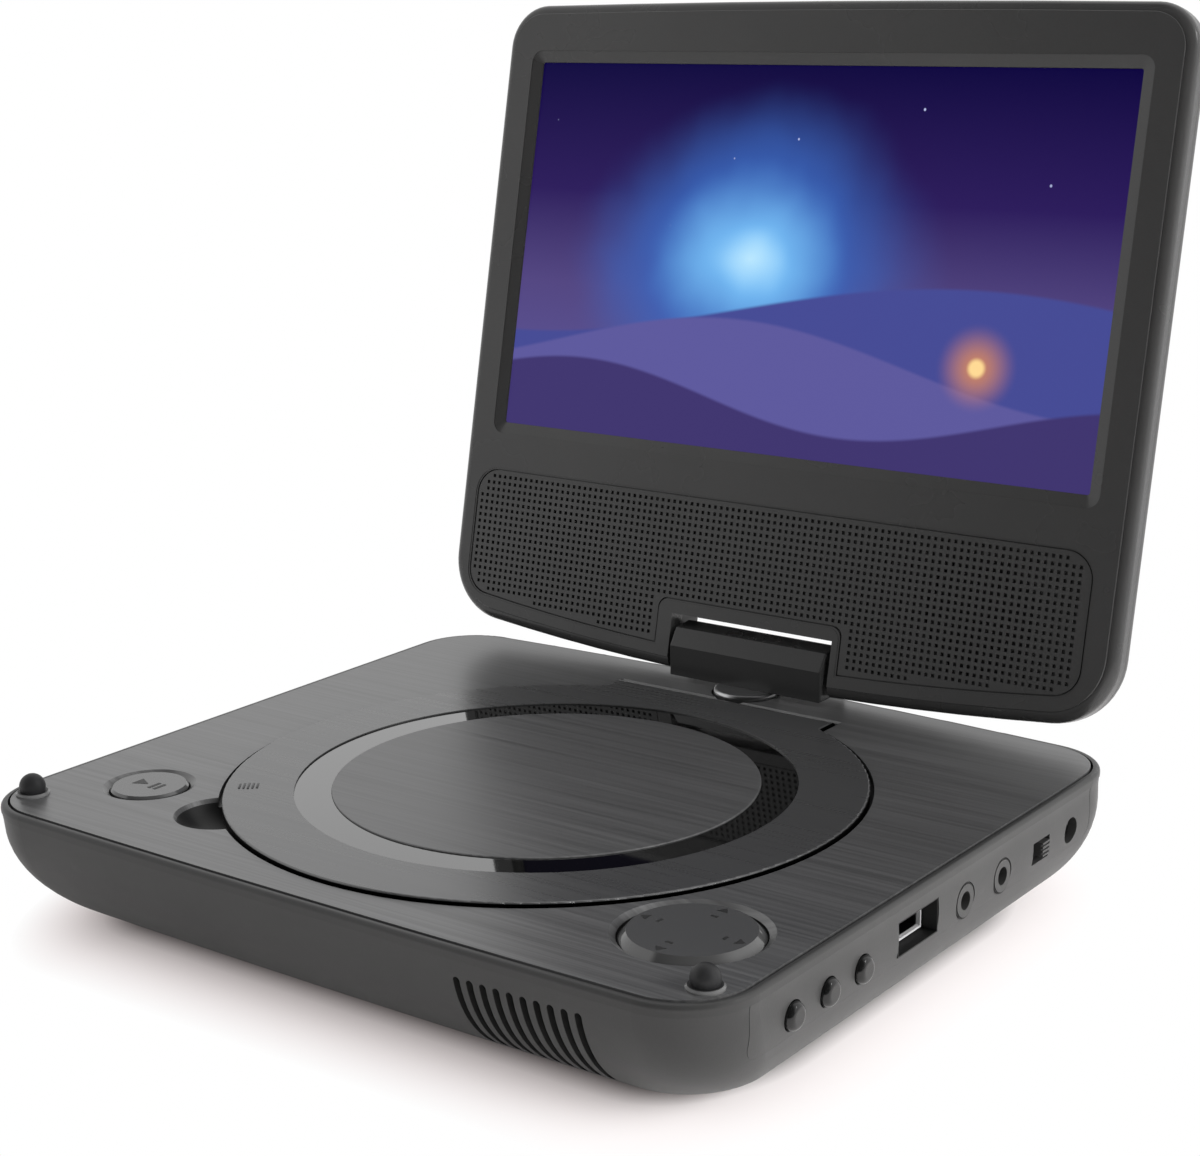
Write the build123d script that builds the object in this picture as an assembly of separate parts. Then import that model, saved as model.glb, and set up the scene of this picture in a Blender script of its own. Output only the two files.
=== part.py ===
from build123d import *
from math import cos, pi, radians, sin, sqrt
import os

# A portable disc player: a base with a round disc door, and a screen half on a swivel hinge.
# Frame: origin under the middle of the base at the table, X to the right, Y to the back, Z up.
# The screen half is drawn upright about the tilt axis, then leaned back to its resting angle.

os.makedirs("parts", exist_ok=True)

# ---- base casing
door_side_land = 24.1  # casing beside the door, each side
door_front_land, door_rear_land = 9.45, 17.45
plate_top = 26.8  # brushed plate above the table
foot_height = 1.3
wall = 2.0
corner_radius = 15.0
front_bow = 1.0
rear_bow = 3.5
front_roll = 25.5  # radius that rolls the front wall under
front_roll_top = 25.7
side_roll = 18.6
side_roll_top = 19.0
rear_roll = 29.0
rear_roll_top = 23.0
rim_width = 1.4
rim_proud = 0.14
rim_above_plate = -0.2
band_height = 2.2
proud_height = 1.5  # the part of the band that stands proud of the wall
band_edge = 0.9
plate_thickness = 0.8
pocket_chamfer = 0.4  # on the plate behind the door's tab
deck_thickness = 1.6
inlay_gap = 0.5
inlay_channel = 0.9  # depth of the channel round the plate

# ---- disc door and well
door_radius = 65.2
door_gap = 0.8
door_above_plate = 0.7
door_thickness = 2.0
door_edge = 0.45
tab_half = 28.6
tab_from_rear = 17.05
barrel_radius = 2.3
door_pin_radius = 0.6
door_pin_length = 6.0
ring_outer = 50.95
ring_inner = 43.45
ring_depth = 0.3
ring_thickness = 0.5
well_inset = 2.2  # the well is this much smaller than the door
well_wall = 1.6
well_floor_top = 18.0
tray_ear_length, tray_ear_width = 6.0, 8.0
tray_ear_angles = (0.0, 180.0, 270.0)
tray_clear = 0.1
pocket_wall = 4.0
pocket_length = 6.6  # ahead of the tab's rear edge
pocket_bottom = 21.2
ledge_gap = 0.3
scoop_radius = 9.2
scoop_depth = 5.0
scoop_from_centre = 65.6
scoop_angle = 230.0

# ---- controls on top
nav_from_door, nav_from_side = 16.37, 21.97
nav_radius = 12.9
nav_height = 0.4
nav_bevel = 1.5
nav_switch_spread = 7.5
nav_board_reach = 15.9
play_from_door, play_from_side = 15.9, 22.87
play_radius = 7.9
play_height = 0.1
play_bevel = 0.5
play_board_reach = 13.4
dish_slope = 1.25
key_gap = 0.3
key_travel = 0.5
key_clear = 0.1
key_depth = 3.4
key_flange = 0.8
key_board_thickness = 1.2
key_switch_height = 2.6

# ---- bumpers, feet and case screws
bumper_from_side, bumper_from_front = 7.3, 10.95
bumper_ball = 2.65
bumper_height = 4.3
bumper_collar = 3.4
foot_from_side, foot_from_front, foot_from_rear = 29.3, 36.65, 32.65
foot_radius = 5.0
foot_sink = 0.6
screw_front_from_side, screw_from_front = 43.3, 24.65
screw_rear_from_side, screw_from_rear = 27.3, 22.65
screw_radius = 1.25
screw_head = 2.5
screw_head_height = 1.4
screw_length = 12.0
boss_radius = 3.0

# ---- vents in the front wall
vent_count = 10
vent_from_side = 51.5
vent_pitch = 2.85
vent_width = 1.45
vent_top = 21.2
vent_bottom = 5.4

# ---- port side
panel_from_front, panel_from_rear = 13.45, 18.45
panel_bottom = 14.0
panel_corner = 2.8
panel_thickness = 1.9
panel_clear = 0.12
panel_clear_below = 0.02
port_z = 17.9
board_top = 15.0
board_thickness = 1.6
side_buttons_from_front = (26.25, 37.55, 48.85)
side_button_radius = 2.6
side_button_proud = 1.3
side_button_clear = 0.2
side_button_flange = 0.9
side_button_flange_reach = 0.7
side_button_travel = 0.5
usb_from_door_centre = -6.1
usb_z = 18.7
usb_hole_width, usb_hole_height = 14.6, 6.8
usb_width, usb_height, usb_length = 13.1, 5.7, 14.0
usb_sheet = 0.3
usb_tongue_width, usb_tongue_thickness = 11.1, 1.8
usb_set_back = 4.0
usb_collar = 1.0
usb_tongue_set_back = 5.2
phone_from_door_centre, av_from_rear = 11.5, 56.35
jack_bore = 1.8
jack_nose = 3.2
jack_ring_gap = 0.4
jack_body = 5.8
jack_length = 12.5
jack_bore_length = 11.0
dc_from_rear = 26.85
dc_bore = 2.6
dc_pin = 0.8
dc_body = 8.0
dc_length = 11.0
switch_from_rear = 39.95
switch_window_width, switch_window_height = 7.0, 4.6
switch_knob_width = 3.0
switch_travel = 3.0
switch_knob_proud = 0.3
switch_ridge_pitch = 0.85

# ---- drive
spindle_floor = 8.2  # top of the drive chassis
chassis_thickness = 1.2
chassis_half = 30.0
chassis_front_y, chassis_from_rear = -20.0, 8.65
grommet_height = 1.5
grommet_radius = 3.5
motor_radius = 11.5
motor_top = 18.2
shaft_radius = 1.0
running_gap = 0.05
hub_radius = 13.0
hub_bottom = 18.6
disc_rest = 20.6
hub_boss_radius = 7.4
hub_boss_height = 2.4
clamp_ball = 0.8
lens_home = 24.0
sled_travel = 32.0
sled_half_width = 20.0
sled_half_length = 9.0
sled_bottom, sled_top = 9.2, 15.6
lens_radius = 2.6
lens_top = 19.2
rod_x = 17.0
rod_radius = 1.5
rod_z = 12.0
screw_x = 25.0
lead_screw_radius = 1.5
sled_motor_radius = 3.8
sled_motor_length = 12.0
sled_motor_front_y = -4.0

# ---- battery and main board
battery_from_side, battery_width = 14.3, 30.0
battery_length, battery_height = 90.0, 9.0
board_from_side, board_width = 4.3, 49.0
board_from_front, board_from_rear = 16.65, 18.65
board_chips = (  # right edge from the board's, front y, width, depth, height
    (23.0, -20.0, 16.0, 16.0, 1.4),
    (29.0, 4.0, 10.0, 18.0, 1.2),
    (9.0, -30.0, 10.0, 10.0, 3.5),
)
board_cans = (  # from the board's right edge, y, radius, height
    (13.0, 10.0, 4.0, 7.0),
    (13.0, 22.0, 3.2, 6.0),
)
switch_block_depth, switch_block_width, switch_block_height = 3.7, 6.0, 6.0
switch_plunger = 0.8

# ---- hinge between base and screen half
swivel_from_rear = 8.75
turntable_radius = 7.5
turntable_gap = 0.5
turntable_sink = 0.6
turntable_proud = 1.2
turntable_edge = 0.8
turntable_cap = 0.5  # closes the top over the shaft
swivel_shaft_radius = 3.6
swivel_shaft_bore = 2.2
bush_radius = 5.2
bush_length = 6.8
nut_height = 1.5
tilt_from_rear = 4.65
tilt_z = 34.4
block_half = 20.3
block_front, block_rear = 5.5, 5.5
block_shoulder = 0.6
block_crown_front, block_crown_top = 3.0, 4.4
block_crown_rear, block_top = 2.5, 5.0
block_rear_shoulder = 2.1
hinge_pin_radius = 1.5
hinge_pin_inner_x, hinge_pin_outer_x = 8.0, 30.0

# ---- screen half, about the tilt axis
lean = 12.2
lid_bottom = 6.3  # below the tilt axis
lid_front = 4.16
lid_back = 6.84
lid_split = 4.5  # depth of the front frame
lid_wall = 1.6
lid_face = 1.4
lid_bottom_bow = 5.3
lid_top_bow = 0.8
lid_bottom_corner = 15.0
lid_top_corner = 10.0
lid_front_edge = 2.2
lid_step_inset, lid_step = 2.3, 0.4  # the raised flat of the front frame
lid_step_edge = 0.12
lid_back_edge = 6.2
notch_half = 21.5
notch_top = 6.7
screen_width, screen_height = 154.08, 86.58
lid_beside_screen, lid_above_screen = 11.16, 14.72
screen_bottom = 46.0
screen_margin = 0.3
surround = 2.7
surround_groove = 0.2
surround_depth = 0.9
grille_inset = 6.65
grille_shift = -1.05  # the panel sits this far off the middle
grille_below_screen = 12.1
grille_bottom = -0.9
grille_bow = 5.3
grille_thickness = 1.0
grille_corner = 6.0
grille_notch_half = 24.7
grille_notch_top = 10.2
grille_gap = 0.3
grille_recess = 0.3  # below the frame's face
grille_shoulder, grille_shoulder_depth = 0.35, 0.15
speaker_from_side, speaker_z = 32.2, 17.5
speaker_radius = 14.0
speaker_thickness = 4.4
lcd_side_margin, lcd_end_margin = 5.41, 6.71
lcd_glass_thickness = 1.4
lcd_frame_depth = 4.2
lcd_sheet = 0.5
bracket_outer = 2.1
bracket_x0, bracket_length = 23.8, 6.0
bracket_arm_width, bracket_arm_top = 12.0, 26.0
bracket_sheet = 1.2
bracket_screw_zs = (14.0, 22.0)
lid_screw_low_inset, lid_screw_low_z = 11.2, 8.0
lid_screw_high_inset, lid_screw_high_drop = 22.2, 5.1
lid_board_half, lid_board_low, lid_board_high = 20.0, 12.0, 34.0
lid_board_thickness = 1.2
lid_screw_head = 2.2
lid_boss = 2.6

# ---- worked out from the sizes above
half_width = door_radius + door_side_land
base_depth = 2 * door_radius + door_front_land + door_rear_land
front_y, rear_y = -base_depth / 2, base_depth / 2
door_centre_y = front_y + door_front_land + door_radius
well_radius = door_radius - well_inset
nav_x = half_width - nav_from_side
nav_y = door_centre_y - sqrt((door_radius + nav_from_door) ** 2 - nav_x**2)
play_x = play_from_side - half_width
play_y = door_centre_y - sqrt((door_radius + play_from_door) ** 2 - play_x**2)
bumper_y = front_y + bumper_from_front
foot_front_y, foot_rear_y = front_y + foot_from_front, rear_y - foot_from_rear
screw_front_y, screw_rear_y = front_y + screw_from_front, rear_y - screw_from_rear
panel_front_y, panel_rear_y = front_y + panel_from_front, rear_y - panel_from_rear
side_button_ys = [front_y + inset for inset in side_buttons_from_front]
usb_y = door_centre_y + usb_from_door_centre
phone_y, av_y = door_centre_y + phone_from_door_centre, rear_y - av_from_rear
dc_y, switch_y = rear_y - dc_from_rear, rear_y - switch_from_rear
chassis_rear_y = rear_y - chassis_from_rear
board_front_y, board_rear_y = front_y + board_from_front, rear_y - board_from_rear
swivel_y, tilt_y = rear_y - swivel_from_rear, rear_y - tilt_from_rear
tab_rear_y = rear_y - tab_from_rear
pocket_front_y = tab_rear_y - pocket_length
bumper_x = half_width - bumper_from_side
foot_x = half_width - foot_from_side
screw_front_x = half_width - screw_front_from_side
screw_rear_x = half_width - screw_rear_from_side
vent_first_x = half_width - vent_from_side
battery_left = -half_width + battery_from_side
board_right = half_width - board_from_side
board_left = board_right - board_width
split_z = plate_top + rim_above_plate - band_height
rim_top = plate_top + rim_above_plate
deck_top = plate_top - plate_thickness
deck_bottom = split_z
case_floor = foot_height + wall
door_top = plate_top + door_above_plate
door_bottom = door_top - door_thickness
door_hinge_y = tab_rear_y - barrel_radius
door_hinge_z = door_top - barrel_radius
hole_radius = door_radius + door_gap
panel_face = half_width - rim_proud
panel_back = panel_face - panel_thickness
board_bottom = board_top - board_thickness
turntable_floor = deck_top - turntable_sink
turntable_bottom = turntable_floor + 0.2
turntable_top = plate_top + turntable_proud
chassis_bottom = spindle_floor - chassis_thickness
key_rest_bottom = plate_top - key_depth
key_switch_top = key_rest_bottom - key_travel - key_clear
key_board_top = key_switch_top - key_switch_height
key_board_bottom = key_board_top - key_board_thickness
pocket_half = tab_half + door_gap
screen_middle = screen_bottom + screen_height / 2
lcd_width = screen_width + 2 * lcd_side_margin
lcd_height = screen_height + 2 * lcd_end_margin
lid_half = screen_width / 2 + lid_beside_screen
lid_top = screen_bottom + screen_height + lid_above_screen
grille_right = lid_half - grille_inset + grille_shift
grille_left = -lid_half + grille_inset + grille_shift
grille_top = screen_bottom - grille_below_screen
speaker_x = lid_half - speaker_from_side
lid_screw_spots = [
    (side * (lid_half - inset), z)
    for inset, z in (
        (lid_screw_low_inset, lid_screw_low_z),
        (lid_screw_high_inset, lid_top - lid_screw_high_drop),
    )
    for side in (-1, 1)
]


def box(x0, x1, y0, y1, z0, z1):
    """A block between two corners."""
    return Pos(x0, y0, z0) * Box(x1 - x0, y1 - y0, z1 - z0, align=(Align.MIN, Align.MIN, Align.MIN))


def rod(radius, z0, z1, x=0.0, y=0.0):
    """An upright cylinder."""
    return Pos(x, y, z0) * Cylinder(radius, z1 - z0, align=(Align.CENTER, Align.CENTER, Align.MIN))


def rod_x_way(radius, x0, x1, y, z):
    """A cylinder along X."""
    return Pos(x0, y, z) * Rot(Y=90) * Cylinder(radius, x1 - x0, align=(Align.CENTER, Align.CENTER, Align.MIN))


def rod_y_way(radius, y0, y1, x, z):
    """A cylinder along Y."""
    return Pos(x, y0, z) * Rot(X=-90) * Cylinder(radius, y1 - y0, align=(Align.CENTER, Align.CENTER, Align.MIN))


def roll_inset(z, roll, roll_top):
    """How far a wall that rolls under has come in at height z."""
    drop = max(0.0, roll_top - z)
    return roll - sqrt(roll * roll - drop * drop)


def plan(side, front, rear, z, radius=corner_radius):
    """The base's plan outline at height z, set in by the given amounts."""
    half = half_width - side
    y_front = front_y + front
    y_rear = rear_y - rear
    a = (-half, y_front + front_bow)
    b = (half, y_front + front_bow)
    c = (half, y_rear - rear_bow)
    d = (-half, y_rear - rear_bow)
    edges = [
        ThreePointArc(a, (0, y_front), b),
        Line(b, c),
        ThreePointArc(c, (0, y_rear), d),
        Line(d, a),
    ]
    face = make_face(Curve() + edges)
    return Pos(0, 0, z) * fillet(face.vertices(), radius)


def case_loft(thickness, bottom, levels=9):
    """The lower case's outer or inner form, as a loft of plan outlines."""
    sections = []
    for i in range(levels + 1):
        z = bottom + (split_z - bottom) * (1 - sin(pi / 2 * i / levels))
        side = rim_proud + thickness + roll_inset(z, side_roll - thickness, side_roll_top)
        front = rim_proud + thickness + roll_inset(z, front_roll - thickness, front_roll_top)
        rear = rim_proud + thickness + roll_inset(z, rear_roll - thickness, rear_roll_top)
        sections.append(plan(side, front, rear, z, corner_radius - thickness))
    return loft(sections)


def case_screw_spots():
    return [
        (-screw_front_x, screw_front_y),
        (screw_front_x, screw_front_y),
        (-screw_rear_x, screw_rear_y),
        (screw_rear_x, screw_rear_y),
    ]


def foot_spots():
    """One foot near each corner and one under the middle, which bears the push on the disc hub."""
    corners = [(sx * foot_x, y) for sx in (-1, 1) for y in (foot_front_y, foot_rear_y)]
    return corners + [(0.0, 0.0)]


def chassis_spots():
    inset = 5.0
    xs = (-chassis_half + inset, chassis_half - inset)
    ys = (chassis_front_y + inset, chassis_rear_y - inset - 6.0)
    return [(x, y) for x in xs for y in ys]


def board_spots():
    inset = 5.0
    xs = (board_left + inset, board_right - 2 * inset)
    ys = (board_front_y + 2 * inset + 6.0, board_rear_y - 2 * inset - 6.0)
    return [(x, y) for x in xs for y in ys]


def vent_cutters():
    cutters = Part()
    for i in range(vent_count):
        x = vent_first_x + i * vent_pitch
        slot = SlotOverall(vent_top - vent_bottom, vent_width, rotation=90)
        tool = Plane.XZ * Pos(x, (vent_top + vent_bottom) / 2) * slot
        cutters += extrude(Pos(0, front_y - 1, 0) * tool, amount=-(wall + 12))
    return cutters


def lower_case():
    """The bottom shell: walls that roll under, vents, posts, screw wells and foot seats."""
    shell = case_loft(0.0, foot_height) - case_loft(wall, case_floor)
    for x, y in chassis_spots():
        shell += rod(grommet_radius, case_floor, chassis_bottom - grommet_height, x, y)
    for x, y in board_spots():
        shell += rod(boss_radius - 0.5, case_floor - 0.5, board_bottom, x, y)
    for x, y in case_screw_spots():
        shell += rod(screw_head + wall / 2, case_floor - 0.5, case_floor + 2.5, x, y)
        shell -= rod(screw_head, 0, foot_height + screw_head_height + 0.6, x, y)
        shell -= rod(screw_radius + 0.1, 0, plate_top, x, y)
    for x, y in foot_spots():
        shell -= rod(foot_radius, 0, foot_height + foot_sink, x, y)
    shell -= vent_cutters()
    shell -= panel_block(panel_clear, panel_back, half_width + 5)
    return shell - box(
        panel_back - 4.0, panel_back + 0.1,
        panel_front_y + 3, panel_rear_y - 3,
        panel_bottom - 0.6, split_z + 1,
    )


def door_plan(grow):
    """The door's outline: a disc with a straight-sided tab over its hinge."""
    disc = Pos(0, door_centre_y) * Circle(door_radius + grow)
    tab_depth = tab_rear_y + grow - door_centre_y
    tab = Pos(0, door_centre_y + tab_depth / 2) * Rectangle(2 * (tab_half + grow), tab_depth)
    return disc + tab


def scoop_tool(extra=0.0):
    """The ball that hollows the finger scoop beside the door."""
    ball = (scoop_radius**2 + scoop_depth**2) / (2 * scoop_depth)
    x = scoop_from_centre * cos(radians(scoop_angle))
    y = door_centre_y + scoop_from_centre * sin(radians(scoop_angle))
    return Pos(x, y, plate_top - scoop_depth + ball) * Sphere(ball + extra)


def dish_tool(x, y, radius):
    """A key's opening: a cone-sided dish at the top and a straight hole below."""
    hole = radius + key_gap
    cone = Pos(x, y, deck_top) * Cone(
        hole, hole + dish_slope, plate_thickness, align=(Align.CENTER, Align.CENTER, Align.MIN)
    )
    return cone + rod(hole, deck_bottom - 5, deck_top, x, y)


def top_opening_tools():
    """Everything that opens the deck and the brushed plate alike."""
    tools = extrude(Pos(0, 0, door_bottom - ledge_gap) * door_plan(door_gap), amount=10)
    tools += dish_tool(nav_x, nav_y, nav_radius)
    tools += dish_tool(play_x, play_y, play_radius)
    tools += scoop_tool()
    tools += rod(turntable_radius + turntable_gap, turntable_floor, plate_top + 5, 0, swivel_y)
    return tools


def pocket_block(grow):
    """The walled pocket under the deck that the door's barrel turns in."""
    half = pocket_half + pocket_wall + grow
    return box(-half, half, pocket_front_y - grow, tab_rear_y + 2.2 + grow, pocket_bottom - grow, split_z + 0.5)


def tray_ear(angle, length, width, z0, z1):
    """A flat lug that reaches out from the disc tray's wall."""
    inner = well_radius + well_wall - 0.5
    lug = box(inner, inner + 0.5 + length, -width / 2, width / 2, z0, z1)
    return Pos(0, door_centre_y, 0) * Rot(Z=angle) * lug


def tray_screw_spots():
    reach = well_radius + well_wall + tray_ear_length / 2
    spots = []
    for angle in tray_ear_angles:
        spots.append((reach * cos(radians(angle)), door_centre_y + reach * sin(radians(angle))))
    return spots


def disc_tray():
    """The dished tray that the disc turns in, hung by three lugs under the deck."""
    tray = Pos(0, door_centre_y, 0) * rod(well_radius + well_wall, well_floor_top - well_wall, deck_bottom)
    tray -= Pos(0, door_centre_y, 0) * rod(well_radius, well_floor_top, plate_top)
    for angle in tray_ear_angles:
        tray += tray_ear(angle, tray_ear_length, tray_ear_width, deck_bottom - well_wall, deck_bottom)
    tray -= rod(hub_radius + 2.0, 0, well_floor_top + 1, 0, door_centre_y)
    lens_rear = door_centre_y + lens_home + sled_travel
    tray -= box(-9, 9, door_centre_y, lens_rear + 5, well_floor_top - well_wall - 1, well_floor_top + 1)
    tray -= scoop_tool(well_wall + tray_clear)
    return tray - pocket_block(tray_clear)


def plate_seat(inset, floor):
    """The space inside the rim, down to the given floor."""
    height = rim_top + 5 - floor
    return extrude(plan(inset, inset, inset, floor, corner_radius - inset), amount=height)


def upper_case():
    """The top shell: rim band, deck, scoop, hinge pocket and screw bosses in one moulding."""
    band = extrude(plan(0, 0, 0, rim_top - proud_height), amount=proud_height)
    top_edges = band.faces().sort_by(Axis.Z)[-1].edges()
    band = fillet(top_edges, band_edge)
    band += extrude(plan(rim_proud, rim_proud, rim_proud, split_z), amount=band_height - proud_height + 0.1)
    shell = band - plate_seat(rim_width, deck_top)
    shell -= plate_seat(rim_width, deck_top - inlay_channel) - plate_seat(rim_width + inlay_gap, 0)
    shell += scoop_tool(well_wall) & box(-half_width, 0, front_y, 0, well_floor_top, deck_bottom + 0.2)
    shell += pocket_block(0.0)
    for x, y in case_screw_spots():
        shell += rod(boss_radius, case_floor + 2.5, split_z + 0.5, x, y)
        shell -= rod(screw_radius, 0, case_floor + screw_length, x, y)
    for x, y in key_peg_spots():
        shell += rod(1.2, key_board_top, split_z + 0.5, x, y)
    shell += rod(bush_radius + 1.0, split_z - bush_length + 1.0, split_z + 0.5, 0, swivel_y)
    shell -= top_opening_tools()
    shell -= Pos(0, door_centre_y, 0) * rod(well_radius, well_floor_top, plate_top + 5)
    shell -= box(
        -pocket_half, pocket_half,
        door_hinge_y - barrel_radius - 1.0, tab_rear_y + 0.35,
        door_hinge_z - barrel_radius - 0.4, plate_top + 5,
    )
    shell -= rod(bush_radius, 0, plate_top, 0, swivel_y)
    for x in (-bumper_x, bumper_x):
        shell -= rod(1.5, 0, plate_top, x, bumper_y)
    for side in (-1, 1):
        x0, x1 = sorted((side * (tab_half - 3.0), side * (tab_half - 3.0 + door_pin_length)))
        shell -= rod_x_way(door_pin_radius, x0, x1, door_hinge_y, door_hinge_z)
    return shell


def key_peg_spots():
    reach = 0.72
    spots = []
    for x, y, r in ((nav_x, nav_y, nav_board_reach), (play_x, play_y, play_board_reach)):
        spots += [(x + sx * r * reach, y + sy * r * reach) for sx in (-1, 1) for sy in (-1, 1)]
    return spots


def top_plate():
    """The thin brushed plate laid into the rim."""
    inset = rim_width + inlay_gap
    plate = extrude(plan(inset, inset, inset, deck_top, corner_radius - inset), amount=plate_thickness)
    plate -= top_opening_tools()
    plate -= rod(turntable_radius + turntable_gap, 0, plate_top + 5, 0, swivel_y)
    for x in (-bumper_x, bumper_x):
        plate -= rod(1.5, 0, plate_top + 1, x, bumper_y)
    behind_tab = plate.edges().filter_by(Axis.X).filter_by_position(
        Axis.Y, tab_rear_y + door_gap - 0.01, tab_rear_y + door_gap + 0.01
    )
    return chamfer(behind_tab.group_by(Axis.Z)[-1], pocket_chamfer)


def disc_door():
    """The disc door: matte rim, sunk seat for the ring and centre, barrel and two inner pads."""
    plate = extrude(Pos(0, 0, door_bottom) * door_plan(0), amount=door_thickness)
    keep = plate.faces().sort_by(Axis.Z)[-1].edges()
    keep = [e for e in keep if e.center().Y < tab_rear_y - 1]
    plate = fillet(keep, door_edge)
    plate -= box(-tab_half - 1, tab_half + 1, door_hinge_y, half_width, 0, plate_top * 2)
    plate += rod_x_way(barrel_radius, -tab_half, tab_half, door_hinge_y, door_hinge_z)
    seat = ring_depth + ring_thickness
    plate -= rod(ring_outer, door_top - seat, door_top + 1, 0, door_centre_y)
    lip = rod(well_radius - 2.5, door_bottom - 0.8, door_bottom + 0.1, 0, door_centre_y)
    lip -= rod(well_radius - 4.0, door_bottom - 1.8, door_bottom + 1, 0, door_centre_y)
    lip -= box(-half_width, half_width, door_hinge_y - 9, half_width, 0, plate_top * 2)
    plate += lip
    for side in (-1, 1):
        x0, x1 = sorted((side * (tab_half - 3.3), side * (tab_half + 1)))
        plate -= rod_x_way(door_pin_radius + running_gap, x0, x1, door_hinge_y, door_hinge_z)
    return plate


def door_ring():
    bottom = door_top - ring_depth - ring_thickness
    ring = rod(ring_outer, bottom, bottom + ring_thickness, 0, door_centre_y)
    return ring - rod(ring_inner, 0, 40, 0, door_centre_y)


def door_centre_disc():
    bottom = door_top - ring_depth - ring_thickness
    disc = rod(ring_inner - 0.05, bottom, door_top, 0, door_centre_y)
    return fillet(disc.edges().filter_by(GeomType.CIRCLE).sort_by(Axis.Z)[-1], 0.2)


def door_pins():
    pins = []
    for side in (-1, 1):
        x0, x1 = sorted((side * (tab_half - 3.0), side * (tab_half - 3.0 + door_pin_length)))
        pins.append(rod_x_way(door_pin_radius, x0, x1, door_hinge_y, door_hinge_z))
    return pins


def switch_spots(x, y, spread):
    """One switch under the middle of a key, or four spread round it."""
    if not spread:
        return [(x, y)]
    return [(x + dx * spread, y + dy * spread) for dx, dy in ((-1, 0), (1, 0), (0, -1), (0, 1))]


def key(x, y, radius, height, bevel, spread):
    """A round key: bevelled rim, hollow underside, a post over each switch, a flange under the deck."""
    top = plate_top + height
    cap = rod(radius, key_rest_bottom, top, x, y)
    cap = chamfer(cap.edges().filter_by(GeomType.CIRCLE).sort_by(Axis.Z)[-1], bevel)
    cap += rod(radius + key_gap + key_flange, key_rest_bottom, key_rest_bottom + key_flange, x, y)
    cap -= rod(radius - 1.6, key_rest_bottom - 1, top - bevel - 0.8, x, y)
    for sx, sy in switch_spots(x, y, spread):
        cap += rod(1.8, key_rest_bottom, top - bevel, sx, sy)
    return cap


def key_board(x, y, radius):
    """The small board under a key, cut back to clear the disc well."""
    size = 2 * 0.72 * radius + 4.0
    board = Pos(x, y, key_board_bottom + key_board_thickness / 2) * Box(size, size, key_board_thickness)
    return board - rod(well_radius + well_wall + 0.4, 0, 40, 0, door_centre_y)


def key_switches(x, y, spread):
    switches = []
    for sx, sy in switch_spots(x, y, spread):
        body = box(sx - 3, sx + 3, sy - 3, sy + 3, key_board_top, key_switch_top - 0.8)
        switches.append(body + rod(1.6, key_switch_top - 1.0, key_switch_top, sx, sy))
    return switches


def bumpers():
    made = []
    for x in (-bumper_x, bumper_x):
        centre = plate_top + bumper_height - bumper_ball
        ball = Pos(x, bumper_y, centre) * Sphere(bumper_ball)
        ball &= rod(bumper_ball + 1, plate_top, 40, x, bumper_y)
        collar = rod(bumper_collar, plate_top, plate_top + 0.7, x, bumper_y)
        collar = chamfer(collar.edges().sort_by(Axis.Z)[-1], 0.4)
        made.append(ball + collar + rod(1.5, deck_bottom, plate_top + 0.5, x, bumper_y))
    return made


def feet():
    made = []
    for x, y in foot_spots():
        foot = rod(foot_radius - 0.1, 0, foot_height + foot_sink, x, y)
        made.append(chamfer(foot.edges().sort_by(Axis.Z)[0], 0.4))
    return made


def case_screws():
    made = []
    for x, y in case_screw_spots():
        seat = foot_height + 0.6 + screw_head_height
        head = rod(screw_head - 0.1, seat - screw_head_height, seat, x, y)
        head -= box(x - 1.5, x + 1.5, y - 0.25, y + 0.25, 0, seat - screw_head_height + 0.6)
        head -= box(x - 0.25, x + 0.25, y - 1.5, y + 1.5, 0, seat - screw_head_height + 0.6)
        made.append(head + rod(screw_radius, seat, case_floor + screw_length, x, y))
    return made


def on_side(x, y, z, sketch, depth):
    """A sketch stood on the port side at x, pushed inwards by depth."""
    plane = Plane(origin=(x, y, z), x_dir=(0, 1, 0), z_dir=(1, 0, 0))
    return extrude(plane * sketch, amount=-depth)


def panel_block(grow, x0, x1):
    """The panel's outline given depth along X, with rounded lower corners."""
    low = panel_bottom - min(grow, panel_clear_below)
    block = box(x0, x1, panel_front_y - grow, panel_rear_y + grow, low, split_z + grow)
    corners = block.edges().filter_by(Axis.X).group_by(Axis.Z)[0]
    return fillet(corners, panel_corner + grow)


def port_panel():
    """The flat insert along the right wall with every port and button hole."""
    panel = panel_block(0, panel_back, half_width) & case_loft(0.0, foot_height)
    reach = panel_thickness + 2
    for y in side_button_ys:
        panel -= on_side(panel_face + 1, y, port_z, Circle(side_button_radius + side_button_clear), reach)
    sleeve = Rectangle(usb_hole_width + 2 * usb_collar, usb_hole_height + 2 * usb_collar)
    sleeve_depth = usb_set_back - panel_thickness
    panel += on_side(panel_back, usb_y, usb_z, sleeve, sleeve_depth)
    panel -= on_side(panel_face + 1, usb_y, usb_z, Rectangle(usb_hole_width, usb_hole_height), usb_set_back + 2)
    for y in (phone_y, av_y):
        panel -= on_side(panel_face + 1, y, port_z, Circle(jack_nose + jack_ring_gap), reach)
    panel -= on_side(panel_face + 1, dc_y, port_z, Circle(dc_bore + 0.1), reach)
    window = Rectangle(switch_window_width, switch_window_height)
    panel -= on_side(panel_face + 1, switch_y, port_z, window, reach)
    return panel


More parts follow.
